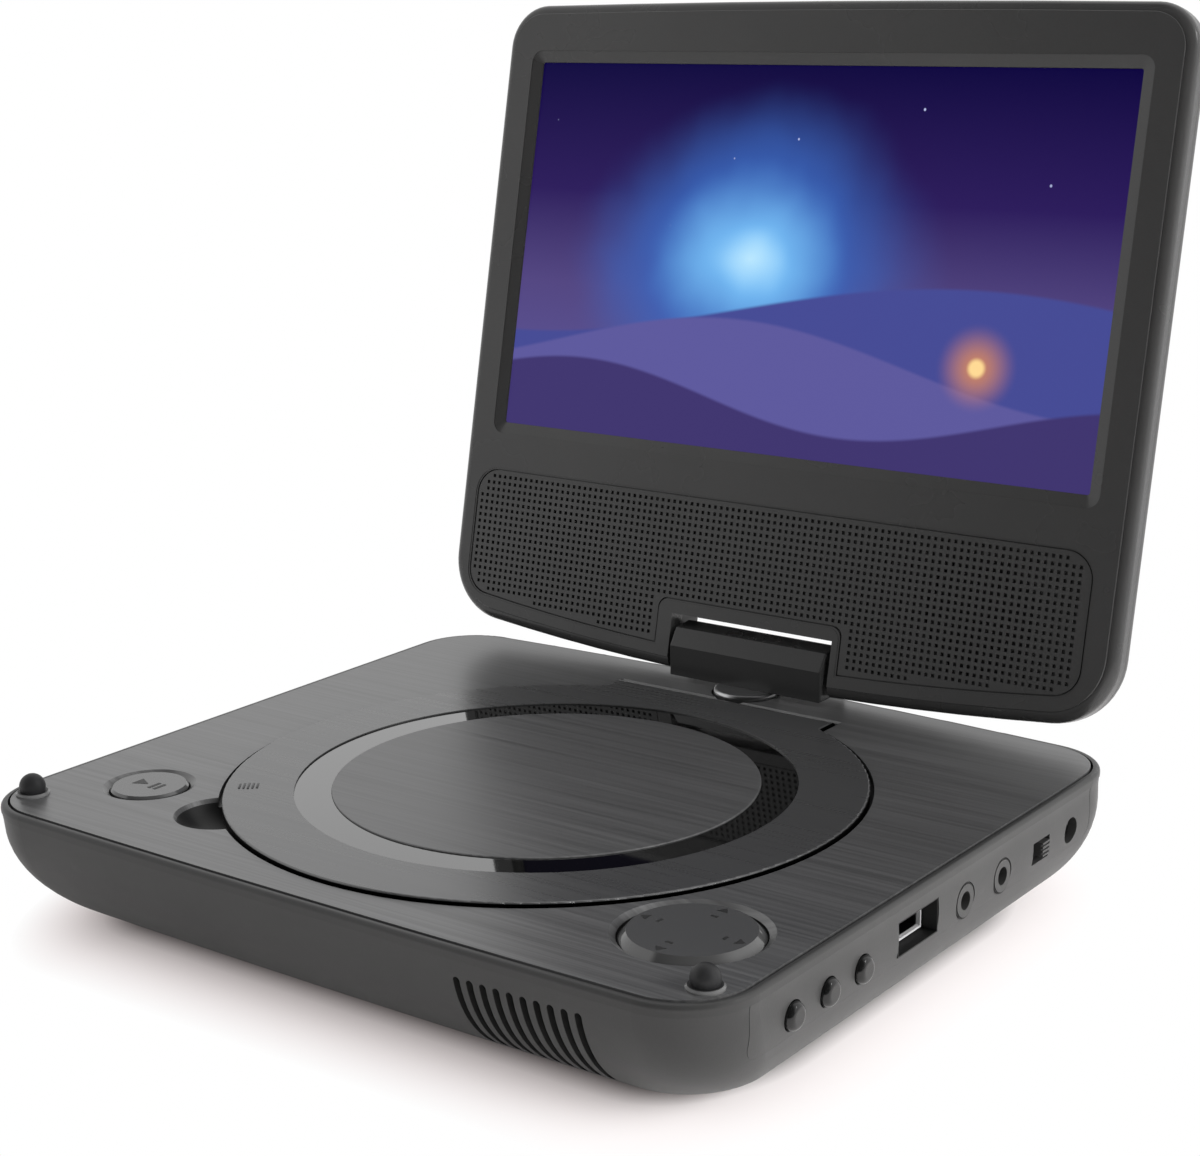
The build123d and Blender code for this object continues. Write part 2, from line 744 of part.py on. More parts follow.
def side_button(y):
    """A push key: domed stem outside, flange behind the panel."""
    length = side_button_proud + panel_thickness + side_button_clear
    stem = on_side(panel_face + side_button_proud, y, port_z, Circle(side_button_radius), length)
    rim = stem.faces().sort_by(Axis.X)[-1].edges()
    stem = fillet(rim, side_button_proud - 0.1)
    flange = Circle(side_button_radius + side_button_flange_reach)
    return stem + on_side(panel_back - side_button_clear, y, port_z, flange, side_button_flange)


def side_switches():
    """Side-push switches on the board, one behind each side button."""
    made = []
    flange_back = panel_back - side_button_clear - side_button_flange
    face = flange_back - side_button_travel - key_clear
    for y in side_button_ys:
        back = face - switch_plunger
        half = switch_block_width / 2
        body = box(back - switch_block_depth, back, y - half, y + half, board_top, board_top + switch_block_height)
        made.append(body + rod_x_way(1.5, back - 0.1, face, y, port_z))
    return made


def usb_shell():
    """The folded steel shell of the USB socket, open at its mouth."""
    x1 = panel_face - usb_set_back - 0.1
    x0 = x1 - usb_length
    z0 = usb_z - usb_height / 2
    shell = box(x0, x1, usb_y - usb_width / 2, usb_y + usb_width / 2, z0, z0 + usb_height)
    for side in (-1, 1):
        y0, y1 = sorted((usb_y + side * usb_width / 2, usb_y + side * (usb_width / 2 - usb_sheet)))
        shell += box(x0 + 4, x0 + 6, y0, y1, board_top + 0.02, z0 + 0.1)
    inner = usb_sheet
    shell -= box(
        x0 + inner, x1 + 1,
        usb_y - usb_width / 2 + inner, usb_y + usb_width / 2 - inner,
        z0 + inner, z0 + usb_height - inner,
    )
    return shell


def usb_tongue():
    """The plastic core of the USB socket with its contact tongue."""
    x1 = panel_face - usb_set_back - 0.1
    x0 = x1 - usb_length + usb_sheet
    z0 = usb_z - usb_height / 2 + usb_sheet
    z1 = z0 + usb_height - 2 * usb_sheet
    half = usb_width / 2 - usb_sheet
    core = box(x0, x0 + 3.0, usb_y - half, usb_y + half, z0, z1)
    tongue_half = usb_tongue_width / 2
    tip = panel_face - usb_tongue_set_back
    return core + box(
        x0 + 2.9, tip, usb_y - tongue_half, usb_y + tongue_half, z1 - usb_tongue_thickness - 0.4, z1 - 0.4
    )


def round_jack(y):
    """A 3.5 mm socket: square body on the board, round nose flush with the panel."""
    body = box(panel_back - jack_length, panel_back - 0.1, y - 3, y + 3, board_top, board_top + jack_body)
    body += rod_x_way(jack_nose, panel_back - 0.2, panel_face, y, port_z)
    return body - rod_x_way(jack_bore, panel_face - jack_bore_length, panel_face + 1, y, port_z)


def dc_jack():
    """The round power inlet with its centre pin."""
    half = dc_body / 2
    body = box(panel_back - dc_length, panel_back - 0.1, dc_y - half, dc_y + half, board_top, board_top + dc_body - 1)
    body -= rod_x_way(dc_bore, panel_back - dc_length + 2, panel_face, dc_y, port_z)
    return body + rod_x_way(dc_pin, panel_back - dc_length + 1, panel_back - 1.0, dc_y, port_z)


def switch_body():
    """The slide switch's housing behind its window."""
    half = switch_window_width / 2 + 1.0
    body = box(panel_back - 5, panel_back - 0.1, switch_y - half, switch_y + half, board_top, board_top + 5.8)
    slot = switch_window_width / 2
    return body - box(
        panel_back - 3.2, panel_back + 1, switch_y - slot, switch_y + slot, port_z - 1.6, port_z + 1.6
    )


def switch_knob():
    """The sliding knob, parked at the rear end of its window."""
    y1 = switch_y + switch_window_width / 2 - 0.4
    y0 = y1 - switch_knob_width
    x1 = panel_face + switch_knob_proud
    knob = box(panel_back - 2.9, x1, y0, y1, port_z - 1.45, port_z + 1.45)
    ridges = Part()
    for k in (-1, 0, 1):
        z = port_z + k * switch_ridge_pitch
        ridges += box(x1 - 0.35, x1 + 1, y0 - 1, y1 + 1, z - 0.2, z + 0.2)
    return knob - ridges


def main_board():
    board = box(board_left, board_right, board_front_y, board_rear_y, board_bottom, board_top)
    for x, y in case_screw_spots():
        board -= rod(boss_radius + 0.5, 0, 40, x, y)
    return board


def board_parts():
    """The decoder, memory, power coil and two capacitors on the underside of the board."""
    low = board_bottom
    made = []
    for inset, front, width, depth, height in board_chips:
        right = board_right - inset
        made.append(box(right - width, right, front, front + depth, low - height, low))
    for inset, y, radius, height in board_cans:
        made.append(rod(radius, low - height, low, board_right - inset, y))
    return made


def inner_screws():
    made = []
    for x, y in board_spots():
        head = rod(2.0, board_top, board_top + 1.1, x, y)
        made.append(head)
    for x, y in chassis_spots():
        made.append(rod(2.4, spindle_floor, spindle_floor + 1.1, x, y))
    for x, y in tray_screw_spots():
        made.append(rod(2.0, deck_bottom - well_wall - 1.1, deck_bottom - well_wall, x, y))
    return made


def battery_pack():
    pack = box(
        battery_left, battery_left + battery_width,
        -battery_length / 2, battery_length / 2,
        case_floor, case_floor + battery_height,
    )
    return fillet(pack.edges().filter_by(Axis.Y), 1.5)


def drive_chassis():
    """The pressed plate that carries spindle motor, rods and lead screw."""
    plate = box(-chassis_half, chassis_half, chassis_front_y, chassis_rear_y - 4, chassis_bottom, spindle_floor)
    for y in (7.0, chassis_rear_y - 6.0):
        for x in (-rod_x, rod_x):
            plate += box(x - 2.5, x + 2.5, y - 1.2, y + 1.2, spindle_floor, rod_z + 2.2)
            plate -= rod_y_way(rod_radius, y - 2, y + 2, x, rod_z)
    rear = chassis_rear_y - 6.0
    plate += box(screw_x - 2.2, screw_x + 2.2, rear - 1.2, rear + 1.2, spindle_floor, rod_z + 2.2)
    return plate - rod_y_way(lead_screw_radius + running_gap, rear - 2, rear + 2, screw_x, rod_z)


def grommets():
    return [
        rod(grommet_radius, chassis_bottom - grommet_height, chassis_bottom, x, y) for x, y in chassis_spots()
    ]


def guide_rods():
    rear = chassis_rear_y - 6.0 + 1.2
    return [rod_y_way(rod_radius, 7.0 - 1.2, rear, x, rod_z) for x in (-rod_x, rod_x)]


def spindle_motor():
    can = rod(motor_radius, spindle_floor, motor_top, 0, door_centre_y)
    can = fillet(can.edges().filter_by(GeomType.CIRCLE).sort_by(Axis.Z)[-1], 0.8)
    return can - rod(shaft_radius + running_gap, spindle_floor + 1.5, 40, 0, door_centre_y)


def spindle_hub():
    """The turntable that carries the disc, with its boss and shaft."""
    hub = rod(hub_radius, hub_bottom, disc_rest, 0, door_centre_y)
    boss = rod(hub_boss_radius, disc_rest - 0.1, disc_rest + hub_boss_height, 0, door_centre_y)
    boss = chamfer(boss.edges().filter_by(GeomType.CIRCLE).sort_by(Axis.Z)[-1], 0.8)
    hub += boss
    for ball in clamp_balls():
        centre = ball.center()
        hub -= Pos(centre.X, centre.Y, centre.Z) * Sphere(clamp_ball)
    return hub + rod(shaft_radius, spindle_floor + 1.7, hub_bottom + 0.1, 0, door_centre_y)


def clamp_balls():
    """Three balls that spring out under the disc's hole edge."""
    made = []
    for k in range(3):
        angle = radians(90 + 120 * k)
        reach = hub_boss_radius - 0.45
        x = reach * cos(angle)
        y = door_centre_y + reach * sin(angle)
        made.append(Pos(x, y, disc_rest + 1.3) * Sphere(clamp_ball))
    return made


def optical_sled():
    """The pickup carriage on its two rods, with the arm that rides the lead screw."""
    y = door_centre_y + lens_home
    sled = box(-sled_half_width, sled_half_width, y - sled_half_length, y + sled_half_length, sled_bottom, sled_top)
    sled -= box(-9, 9, y - sled_half_length - 1, y - 5.5, sled_bottom - 1, sled_top + 1)
    sled += rod(lens_radius + 1.6, sled_top - 0.5, lens_top - 0.5, 0, y)
    sled -= rod(lens_radius, lens_top - 1.2, lens_top + 1, 0, y)
    for x in (-rod_x, rod_x):
        sled -= rod_y_way(rod_radius + running_gap, 0, chassis_rear_y, x, rod_z)
    arm_x = screw_x - lead_screw_radius - 0.1
    return sled + box(sled_half_width - 0.5, arm_x, y - 3, y + 3, rod_z - 1.2, rod_z + 1.2)


def sled_lens():
    y = door_centre_y + lens_home
    lens = rod(lens_radius, lens_top - 1.2, lens_top - 0.3, 0, y)
    return fillet(lens.edges().sort_by(Axis.Z)[-1], 0.5)


def sled_motor():
    """The small motor that turns the lead screw, bored for its shaft."""
    front = sled_motor_front_y
    can = rod_y_way(sled_motor_radius, front, front + sled_motor_length, screw_x, rod_z)
    return can - rod_y_way(0.5 + running_gap, front + 3, front + 20, screw_x, rod_z)


def lead_screw():
    start = sled_motor_front_y + sled_motor_length
    screw = rod_y_way(lead_screw_radius, start + 0.2, chassis_rear_y - 6.0 + 1.0, screw_x, rod_z)
    return screw + rod_y_way(0.5, start - 8, start + 0.5, screw_x, rod_z)


def turntable():
    """The round foot of the hinge, let into the plate."""
    disc = rod(turntable_radius, turntable_bottom, turntable_top, 0, swivel_y)
    disc = fillet(disc.edges().filter_by(GeomType.CIRCLE).sort_by(Axis.Z)[-1], turntable_edge)
    return disc - rod(swivel_shaft_radius, 0, turntable_top - turntable_cap, 0, swivel_y)


def swivel_shaft():
    low = split_z - bush_length - nut_height - 0.4
    shaft = rod(swivel_shaft_radius, low, turntable_top - turntable_cap, 0, swivel_y)
    return shaft - rod(swivel_shaft_bore, 0, 40, 0, swivel_y)


def swivel_bush():
    bush = rod(bush_radius, split_z - bush_length + 1.0, turntable_floor, 0, swivel_y)
    return bush - rod(swivel_shaft_radius + running_gap, 0, 40, 0, swivel_y)


def swivel_nut():
    top = split_z - bush_length + 0.8
    nut = Pos(0, swivel_y, top - nut_height) * extrude(RegularPolygon(bush_radius, 6), amount=nut_height)
    return nut - rod(swivel_shaft_radius, 0, 40, 0, swivel_y)


def hinge_block():
    """The neck that carries both tilt pins, with a sloped front shoulder."""
    profile = [
        (tilt_y - block_front, turntable_top),
        (tilt_y - block_front, tilt_z + block_shoulder),
        (tilt_y - block_crown_front, tilt_z + block_crown_top),
        (tilt_y + block_crown_rear, tilt_z + block_top),
        (tilt_y + block_rear, tilt_z + block_rear_shoulder),
        (tilt_y + block_rear, turntable_top),
    ]
    section = Plane.YZ * make_face(Polyline(*profile, close=True))
    block = extrude(Pos(-block_half, 0, 0) * section, amount=2 * block_half)
    block = fillet(block.edges().filter_by(Axis.X).group_by(Axis.Z)[-1], 1.5)
    ends = block.faces().sort_by(Axis.X)
    block = fillet(ends[0].edges() + ends[-1].edges(), 0.4)
    for side in (-1, 1):
        x0, x1 = sorted((side * hinge_pin_inner_x, side * (block_half + 1)))
        block -= rod_x_way(hinge_pin_radius, x0, x1, tilt_y, tilt_z)
    return block


def hinge_pins():
    made = []
    for side in (-1, 1):
        x0, x1 = sorted((side * hinge_pin_inner_x, side * hinge_pin_outer_x))
        made.append(rod_x_way(hinge_pin_radius, x0, x1, tilt_y, tilt_z))
    return made


def leaned(shape):
    """Leans a piece of the upright screen half back and sets it on the tilt axis."""
    return Pos(0, tilt_y, tilt_z) * Rot(X=-lean) * shape


def lid_plan(inset):
    """The screen half's front outline, set in all round."""
    half = lid_half - inset
    low, high = -lid_bottom + inset, lid_top - inset
    a = (-half, low + lid_bottom_bow)
    b = (half, low + lid_bottom_bow)
    c = (half, high - lid_top_bow)
    d = (-half, high - lid_top_bow)
    edges = [ThreePointArc(a, (0, low), b), Line(b, c), ThreePointArc(c, (0, high), d), Line(d, a)]
    face = make_face(Curve() + edges)
    corners = face.vertices().sort_by(Axis.Y)
    face = fillet(corners[:2], lid_bottom_corner - inset)
    sharp = [v for v in face.vertices() if v.Y > lid_top / 2 and abs(abs(v.X) - half) < 0.01]
    top = [v for v in sharp if v.Y > high - lid_top_bow - 0.01]
    return fillet(top, lid_top_corner - inset)


def upright(sketch, y0, y1):
    """A front-view sketch given depth from y0 back to y1."""
    plane = Plane(origin=(0, y0, 0), x_dir=(1, 0, 0), z_dir=(0, -1, 0))
    return extrude(plane * sketch, amount=-(y1 - y0))


def notch(grow, y0=-50.0, y1=50.0):
    """The gap in the lid's lower edge that the hinge block stands in."""
    return box(-notch_half - grow, notch_half + grow, y0, y1, -50, notch_top + grow)


def grille_plan(grow):
    """The speaker panel's outline, stepped over the hinge notch."""
    left, right = grille_left - grow, grille_right + grow
    low, high = grille_bottom - grow, grille_top + grow
    rise = grille_bow
    edges = [
        ThreePointArc((left, low + rise), (grille_shift, low), (right, low + rise)),
        Line((right, low + rise), (right, high)),
        Line((right, high), (left, high)),
        Line((left, high), (left, low + rise)),
    ]
    face = make_face(Curve() + edges)
    face = fillet(face.vertices(), grille_corner + grow)
    step = grille_notch_half - grow
    gap = Pos(grille_shift, grille_notch_top - grow - 20) * RectangleRounded(2 * step, 40, 2.5)
    return face - gap


def surround_slope(outer, inner):
    """The slope that falls from the surround's groove to the display's opening."""
    front = -lid_front
    planes = [
        Plane(origin=(0, y, 0), x_dir=(1, 0, 0), z_dir=(0, -1, 0))
        for y in (front + surround_groove, front + surround_depth)
    ]
    return loft([planes[0] * outer.face(), planes[1] * inner.face()])


def lid_bezel():
    """The front frame: screen opening with a sunk surround, speaker seat and hinge notch."""
    front = -lid_front
    back = front + lid_split
    frame = upright(lid_plan(0), front + lid_step, back)
    frame = fillet(frame.faces().sort_by(Axis.Y)[0].edges(), lid_front_edge)
    raised = upright(lid_plan(lid_step_inset), front, front + lid_face)
    frame += chamfer(raised.faces().sort_by(Axis.Y)[0].edges(), lid_step_edge)
    hollow = upright(lid_plan(lid_wall), front + lid_face, back + 1) - notch(lid_wall)
    frame -= hollow
    seat_back = upright(grille_plan(-1.0), front + lid_face - 0.1, front + lid_face + 0.6)
    frame += seat_back
    frame -= notch(0)
    frame -= upright(grille_plan(grille_gap), front - 1, front + grille_thickness)
    frame -= upright(grille_plan(grille_gap + grille_shoulder), front - 1, front + grille_shoulder_depth)
    for side in (-1, 1):
        frame -= rod_y_way(speaker_radius - 1.0, front - 1, front + 5, side * speaker_x, speaker_z)
    opening_width = screen_width + 2 * screen_margin
    opening_height = screen_height + 2 * screen_margin
    middle = Pos(0, screen_middle)
    rim = middle * RectangleRounded(opening_width + 2 * surround, opening_height + 2 * surround, 3.0)
    frame -= upright(rim, front - 1, front + surround_groove)
    frame -= surround_slope(rim, middle * RectangleRounded(opening_width, opening_height, 0.6))
    frame -= upright(middle * RectangleRounded(opening_width, opening_height, 0.6), front - 1, front + 5)
    for x, z in lid_screw_spots:
        frame += rod_y_way(lid_boss, front + lid_face - 0.1, back, x, z)
        frame -= rod_y_way(screw_radius, front + lid_face + 0.4, back + 1, x, z)
    for side in (-1, 1):
        for z in bracket_screw_zs:
            x = side * (bracket_x0 + bracket_arm_width / 2)
            frame += rod_y_way(2.2, front + lid_face - 0.1, 0.6, x, z)
        x0, x1 = sorted((side * (notch_half - 1), side * (notch_half + lid_wall + 0.5)))
        frame -= rod_x_way(hinge_pin_radius + 0.3, x0, x1, 0, 0)
    return leaned(frame)


def lid_back_cover():
    """The rounded rear shell of the screen half."""
    front = -lid_front + lid_split
    cover = upright(lid_plan(0), front, lid_back)
    cover = fillet(cover.faces().sort_by(Axis.Y)[-1].edges(), lid_back_edge)
    inner = upright(lid_plan(lid_wall), front - 5, lid_back - lid_wall)
    inner = fillet(inner.faces().sort_by(Axis.Y)[-1].edges(), lid_back_edge - lid_wall)
    cover -= inner - notch(lid_wall)
    for x, z in lid_screw_spots:
        boss = rod_y_way(lid_boss, front, lid_back - 1.0, x, z)
        cover += boss & upright(lid_plan(0.5), front, lid_back - 1.2)
        cover -= rod_y_way(screw_radius, front - 5, lid_back + 5, x, z)
        cover -= rod_y_way(lid_screw_head + 0.1, lid_back - 2.6, lid_back + 5, x, z)
    cover -= notch(0)
    for side in (-1, 1):
        x0, x1 = sorted((side * (notch_half - 1), side * (notch_half + lid_wall + 0.5)))
        cover -= rod_x_way(hinge_pin_radius + 0.3, x0, x1, 0, 0)
    return leaned(cover)


def speaker_grille():
    front = -lid_front
    return leaned(upright(grille_plan(0), front + grille_recess, front + grille_thickness))


def speakers():
    front = -lid_front + lid_face + 0.6
    made = []
    for side in (-1, 1):
        body = rod_y_way(speaker_radius, front, front + 1.6, side * speaker_x, speaker_z)
        body += rod_y_way(speaker_radius * 0.62, front + 1.5, front + speaker_thickness, side * speaker_x, speaker_z)
        made.append(leaned(body))
    return made


def lcd_box(width, height, y0, y1):
    return upright(Pos(0, screen_middle) * Rectangle(width, height), y0, y1)


def lcd_glass():
    front = -lid_front + lid_face
    return leaned(lcd_box(lcd_width, lcd_height, front, front + lcd_glass_thickness))


def lcd_frame():
    """The folded steel tray behind the glass."""
    front = -lid_front + lid_face + lcd_glass_thickness
    back = front + lcd_frame_depth
    tray = lcd_box(lcd_width, lcd_height, front, back)
    tray -= lcd_box(lcd_width - 2 * lcd_sheet, lcd_height - 2 * lcd_sheet, front - 1, back - lcd_sheet)
    return leaned(tray)


def lcd_backlight():
    front = -lid_front + lid_face + lcd_glass_thickness
    back = front + lcd_frame_depth - lcd_sheet
    return leaned(lcd_box(lcd_width - 2 * lcd_sheet, lcd_height - 2 * lcd_sheet, front, back))


def lid_board():
    front = -lid_front + lid_face + 0.6
    half = lid_board_half
    return leaned(box(-half, half, front, front + lid_board_thickness, lid_board_low, lid_board_high))


def hinge_brackets():
    """The steel arms that grip the tilt pins and carry the screen half."""
    made = []
    for side in (-1, 1):
        x0, x1 = sorted((side * bracket_x0, side * (bracket_x0 + bracket_length)))
        grip = rod_x_way(bracket_outer, x0, x1, 0, 0)
        a0, a1 = sorted((side * bracket_x0, side * (bracket_x0 + bracket_arm_width)))
        arm = box(a0, a1, 0.6, 0.6 + bracket_sheet, 1.0, bracket_arm_top)
        grip += arm
        grip -= rod_x_way(hinge_pin_radius + running_gap, x0 - 1, x1 + 1, 0, 0)
        made.append(leaned(grip))
    return made


def lid_screws():
    made = []
    seat = lid_back - 2.6
    for x, z in lid_screw_spots:
        head = rod_y_way(lid_screw_head, seat, seat + 1.2, x, z)
        head -= box(x - 1.3, x + 1.3, seat + 0.7, seat + 2, z - 0.25, z + 0.25)
        head -= box(x - 0.25, x + 0.25, seat + 0.7, seat + 2, z - 1.3, z + 1.3)
        made.append(leaned(head + rod_y_way(screw_radius, -lid_front + lid_face + 0.4, seat, x, z)))
    for side in (-1, 1):
        for z in bracket_screw_zs:
            x = side * (bracket_x0 + bracket_arm_width / 2)
            top = 0.6 + bracket_sheet
            made.append(leaned(rod_y_way(2.0, top, top + 1.1, x, z)))
    return made


def save(name, shape):
    """Writes one node; a list is a group of separate solids."""
    if isinstance(shape, list):
        solids = [s for item in shape for s in item.solids()]
        shape = Compound(children=solids)
    export_step(shape, f"parts/{name}.step")
    print(name, len(shape.solids()), round(shape.volume))


save("base_lower_case", lower_case())
save("base_upper_case", upper_case())
save("disc_tray", disc_tray())
save("top_plate", top_plate())
save("port_panel", port_panel())
save("rubber_feet", feet())
save("screen_bumpers", bumpers())
save("case_screws", case_screws())
save("inner_screws", inner_screws())
save("main_board", main_board())
save("board_components", board_parts())
save("battery_pack", battery_pack())
save("drive_chassis", drive_chassis())
save("drive_grommets", grommets())
save("guide_rods", guide_rods())
save("spindle_motor", spindle_motor())
save("sled_motor", sled_motor())
save("swivel_bush", swivel_bush())
save("usb_shell", usb_shell())
save("usb_tongue", usb_tongue())
save("headphone_jack", round_jack(phone_y))
save("av_jack", round_jack(av_y))
save("dc_inlet", dc_jack())
save("power_switch_body", switch_body())
save("side_switches", side_switches())
save("door_hinge_pins", door_pins())
save("nav_key_board", key_board(nav_x, nav_y, nav_board_reach))
save("nav_key_switches", key_switches(nav_x, nav_y, nav_switch_spread))
save("play_key_board", key_board(play_x, play_y, play_board_reach))
save("play_key_switch", key_switches(play_x, play_y, 0))
save("spindle_hub", spindle_hub())
save("clamp_balls", clamp_balls())
save("optical_sled", optical_sled())
save("sled_lens", sled_lens())
save("lead_screw", lead_screw())
save("disc_door", disc_door())
save("door_gloss_ring", door_ring())
save("door_centre_disc", door_centre_disc())
save("nav_pad", key(nav_x, nav_y, nav_radius, nav_height, nav_bevel, nav_switch_spread))
save("play_button", key(play_x, play_y, play_radius, play_height, play_bevel, 0))
for name, y in zip(("side_button_front", "side_button_middle", "side_button_rear"), side_button_ys):
    save(name, side_button(y))
save("power_switch_knob", switch_knob())
save("turntable", turntable())
save("hinge_block", hinge_block())
save("hinge_pins", hinge_pins())
save("swivel_shaft", swivel_shaft())
save("swivel_nut", swivel_nut())
save("lid_bezel", lid_bezel())
save("lid_back_cover", lid_back_cover())
save("speaker_grille", speaker_grille())
save("speakers", speakers())
save("lcd_glass", lcd_glass())
save("lcd_frame", lcd_frame())
save("lcd_backlight", lcd_backlight())
save("lid_board", lid_board())
save("hinge_brackets", hinge_brackets())
save("lid_screws", lid_screws())
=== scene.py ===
from math import cos, pi, radians, sin

import bpy
from mathutils import Matrix, Vector


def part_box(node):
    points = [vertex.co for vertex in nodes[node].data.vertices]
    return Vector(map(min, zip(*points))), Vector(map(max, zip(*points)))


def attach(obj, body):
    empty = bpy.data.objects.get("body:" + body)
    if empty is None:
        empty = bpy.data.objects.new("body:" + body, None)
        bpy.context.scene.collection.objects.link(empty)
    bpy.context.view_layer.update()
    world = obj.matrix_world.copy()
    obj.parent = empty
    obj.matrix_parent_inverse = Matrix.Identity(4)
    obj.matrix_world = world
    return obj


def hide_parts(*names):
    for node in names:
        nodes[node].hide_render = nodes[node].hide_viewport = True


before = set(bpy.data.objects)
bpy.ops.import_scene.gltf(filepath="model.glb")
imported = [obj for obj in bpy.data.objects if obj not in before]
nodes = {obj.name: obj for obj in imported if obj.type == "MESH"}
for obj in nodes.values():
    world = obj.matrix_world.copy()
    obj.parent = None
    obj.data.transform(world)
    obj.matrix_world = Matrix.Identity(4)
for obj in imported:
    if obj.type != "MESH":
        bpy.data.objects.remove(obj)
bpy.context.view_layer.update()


# ---- Lower case
# The bottom shell is one injection-moulded piece in dark grey plastic with a fine spark texture.
# It carries the vents in the front wall and is screwed up into the upper case.
def moulded_grain():
    """Fine mould texture with slow colour drift and handling sheen."""
    group = bpy.data.node_groups.new("Moulded grain", "ShaderNodeTree")
    face = group.interface
    face.new_socket("Colour", in_out="INPUT", socket_type="NodeSocketColor")
    face.new_socket("Grain per metre", in_out="INPUT", socket_type="NodeSocketFloat")
    face.new_socket("Roughness", in_out="INPUT", socket_type="NodeSocketFloat")
    face.new_socket("Drift", in_out="INPUT", socket_type="NodeSocketFloat")
    face.new_socket("Colour", in_out="OUTPUT", socket_type="NodeSocketColor")
    face.new_socket("Roughness", in_out="OUTPUT", socket_type="NodeSocketFloat")
    face.new_socket("Height", in_out="OUTPUT", socket_type="NodeSocketFloat")
    add = group.nodes.new
    link = group.links.new
    inside, outside = add("NodeGroupInput"), add("NodeGroupOutput")
    place = add("ShaderNodeTexCoord")
    grain = add("ShaderNodeTexNoise")
    grain.inputs["Detail"].default_value = 3.0
    link(place.outputs["Object"], grain.inputs["Vector"])
    link(inside.outputs["Grain per metre"], grain.inputs["Scale"])
    slow = add("ShaderNodeTexNoise")
    slow.inputs["Scale"].default_value = 26.0
    slow.inputs["Detail"].default_value = 4.0
    slow.inputs["Roughness"].default_value = 0.62
    link(place.outputs["Object"], slow.inputs["Vector"])
    spread = add("ShaderNodeMapRange")
    spread.inputs["From Min"].default_value = 0.3
    spread.inputs["From Max"].default_value = 0.7
    link(slow.outputs["Fac"], spread.inputs["Value"])
    swing = add("ShaderNodeMath")
    swing.operation = "SUBTRACT"
    swing.inputs[1].default_value = 0.5
    link(spread.outputs["Result"], swing.inputs[0])
    scaled = add("ShaderNodeMath")
    scaled.operation = "MULTIPLY"
    link(swing.outputs[0], scaled.inputs[0])
    link(inside.outputs["Drift"], scaled.inputs[1])
    fine = add("ShaderNodeMath")
    fine.operation = "MULTIPLY_ADD"
    fine.inputs[1].default_value = 0.22
    fine.inputs[2].default_value = 0.89
    link(grain.outputs["Fac"], fine.inputs[0])
    lift = add("ShaderNodeMath")
    lift.operation = "ADD"
    link(fine.outputs[0], lift.inputs[0])
    link(scaled.outputs[0], lift.inputs[1])
    tint = add("ShaderNodeVectorMath")
    tint.operation = "SCALE"
    link(inside.outputs["Colour"], tint.inputs["Vector"])
    link(lift.outputs[0], tint.inputs["Scale"])
    link(tint.outputs["Vector"], outside.inputs["Colour"])
    worn = add("ShaderNodeMath")
    worn.operation = "MULTIPLY_ADD"
    worn.inputs[1].default_value = -0.35
    link(scaled.outputs[0], worn.inputs[0])
    link(inside.outputs["Roughness"], worn.inputs[2])
    link(worn.outputs[0], outside.inputs["Roughness"])
    link(grain.outputs["Fac"], outside.inputs["Height"])
    return group


grain_group = moulded_grain()


def plastic(name, colour, roughness, grain=2600.0, depth=0.000012, drift=0.14, specular=0.5, coat=0.0):
    """A moulded plastic with the shared grain."""
    made = bpy.data.materials.new(name)
    made.use_nodes = True
    tree = made.node_tree
    shader = tree.nodes["Principled BSDF"]
    shader.inputs["Specular IOR Level"].default_value = specular
    shader.inputs["Coat Weight"].default_value = coat
    texture = tree.nodes.new("ShaderNodeGroup")
    texture.node_tree = grain_group
    texture.inputs["Colour"].default_value = (*colour, 1)
    texture.inputs["Grain per metre"].default_value = grain
    texture.inputs["Roughness"].default_value = roughness
    texture.inputs["Drift"].default_value = drift
    bump = tree.nodes.new("ShaderNodeBump")
    bump.inputs["Strength"].default_value = 1.0
    bump.inputs["Distance"].default_value = depth
    tree.links.new(texture.outputs["Colour"], shader.inputs["Base Color"])
    tree.links.new(texture.outputs["Roughness"], shader.inputs["Roughness"])
    tree.links.new(texture.outputs["Height"], bump.inputs["Height"])
    tree.links.new(bump.outputs["Normal"], shader.inputs["Normal"])
    return made


def give(material, *names):
    """Puts a material on carried-over pieces."""
    for name in names:
        piece = nodes[name]
        if not piece.data.materials:
            piece.data.materials.append(material)
        for place in piece.material_slots:
            place.material = material


case_colour = (0.0255, 0.0253, 0.0251)
case_plastic = plastic("Dark case plastic", case_colour, 0.4, specular=0.35)
give(case_plastic, "base_lower_case")


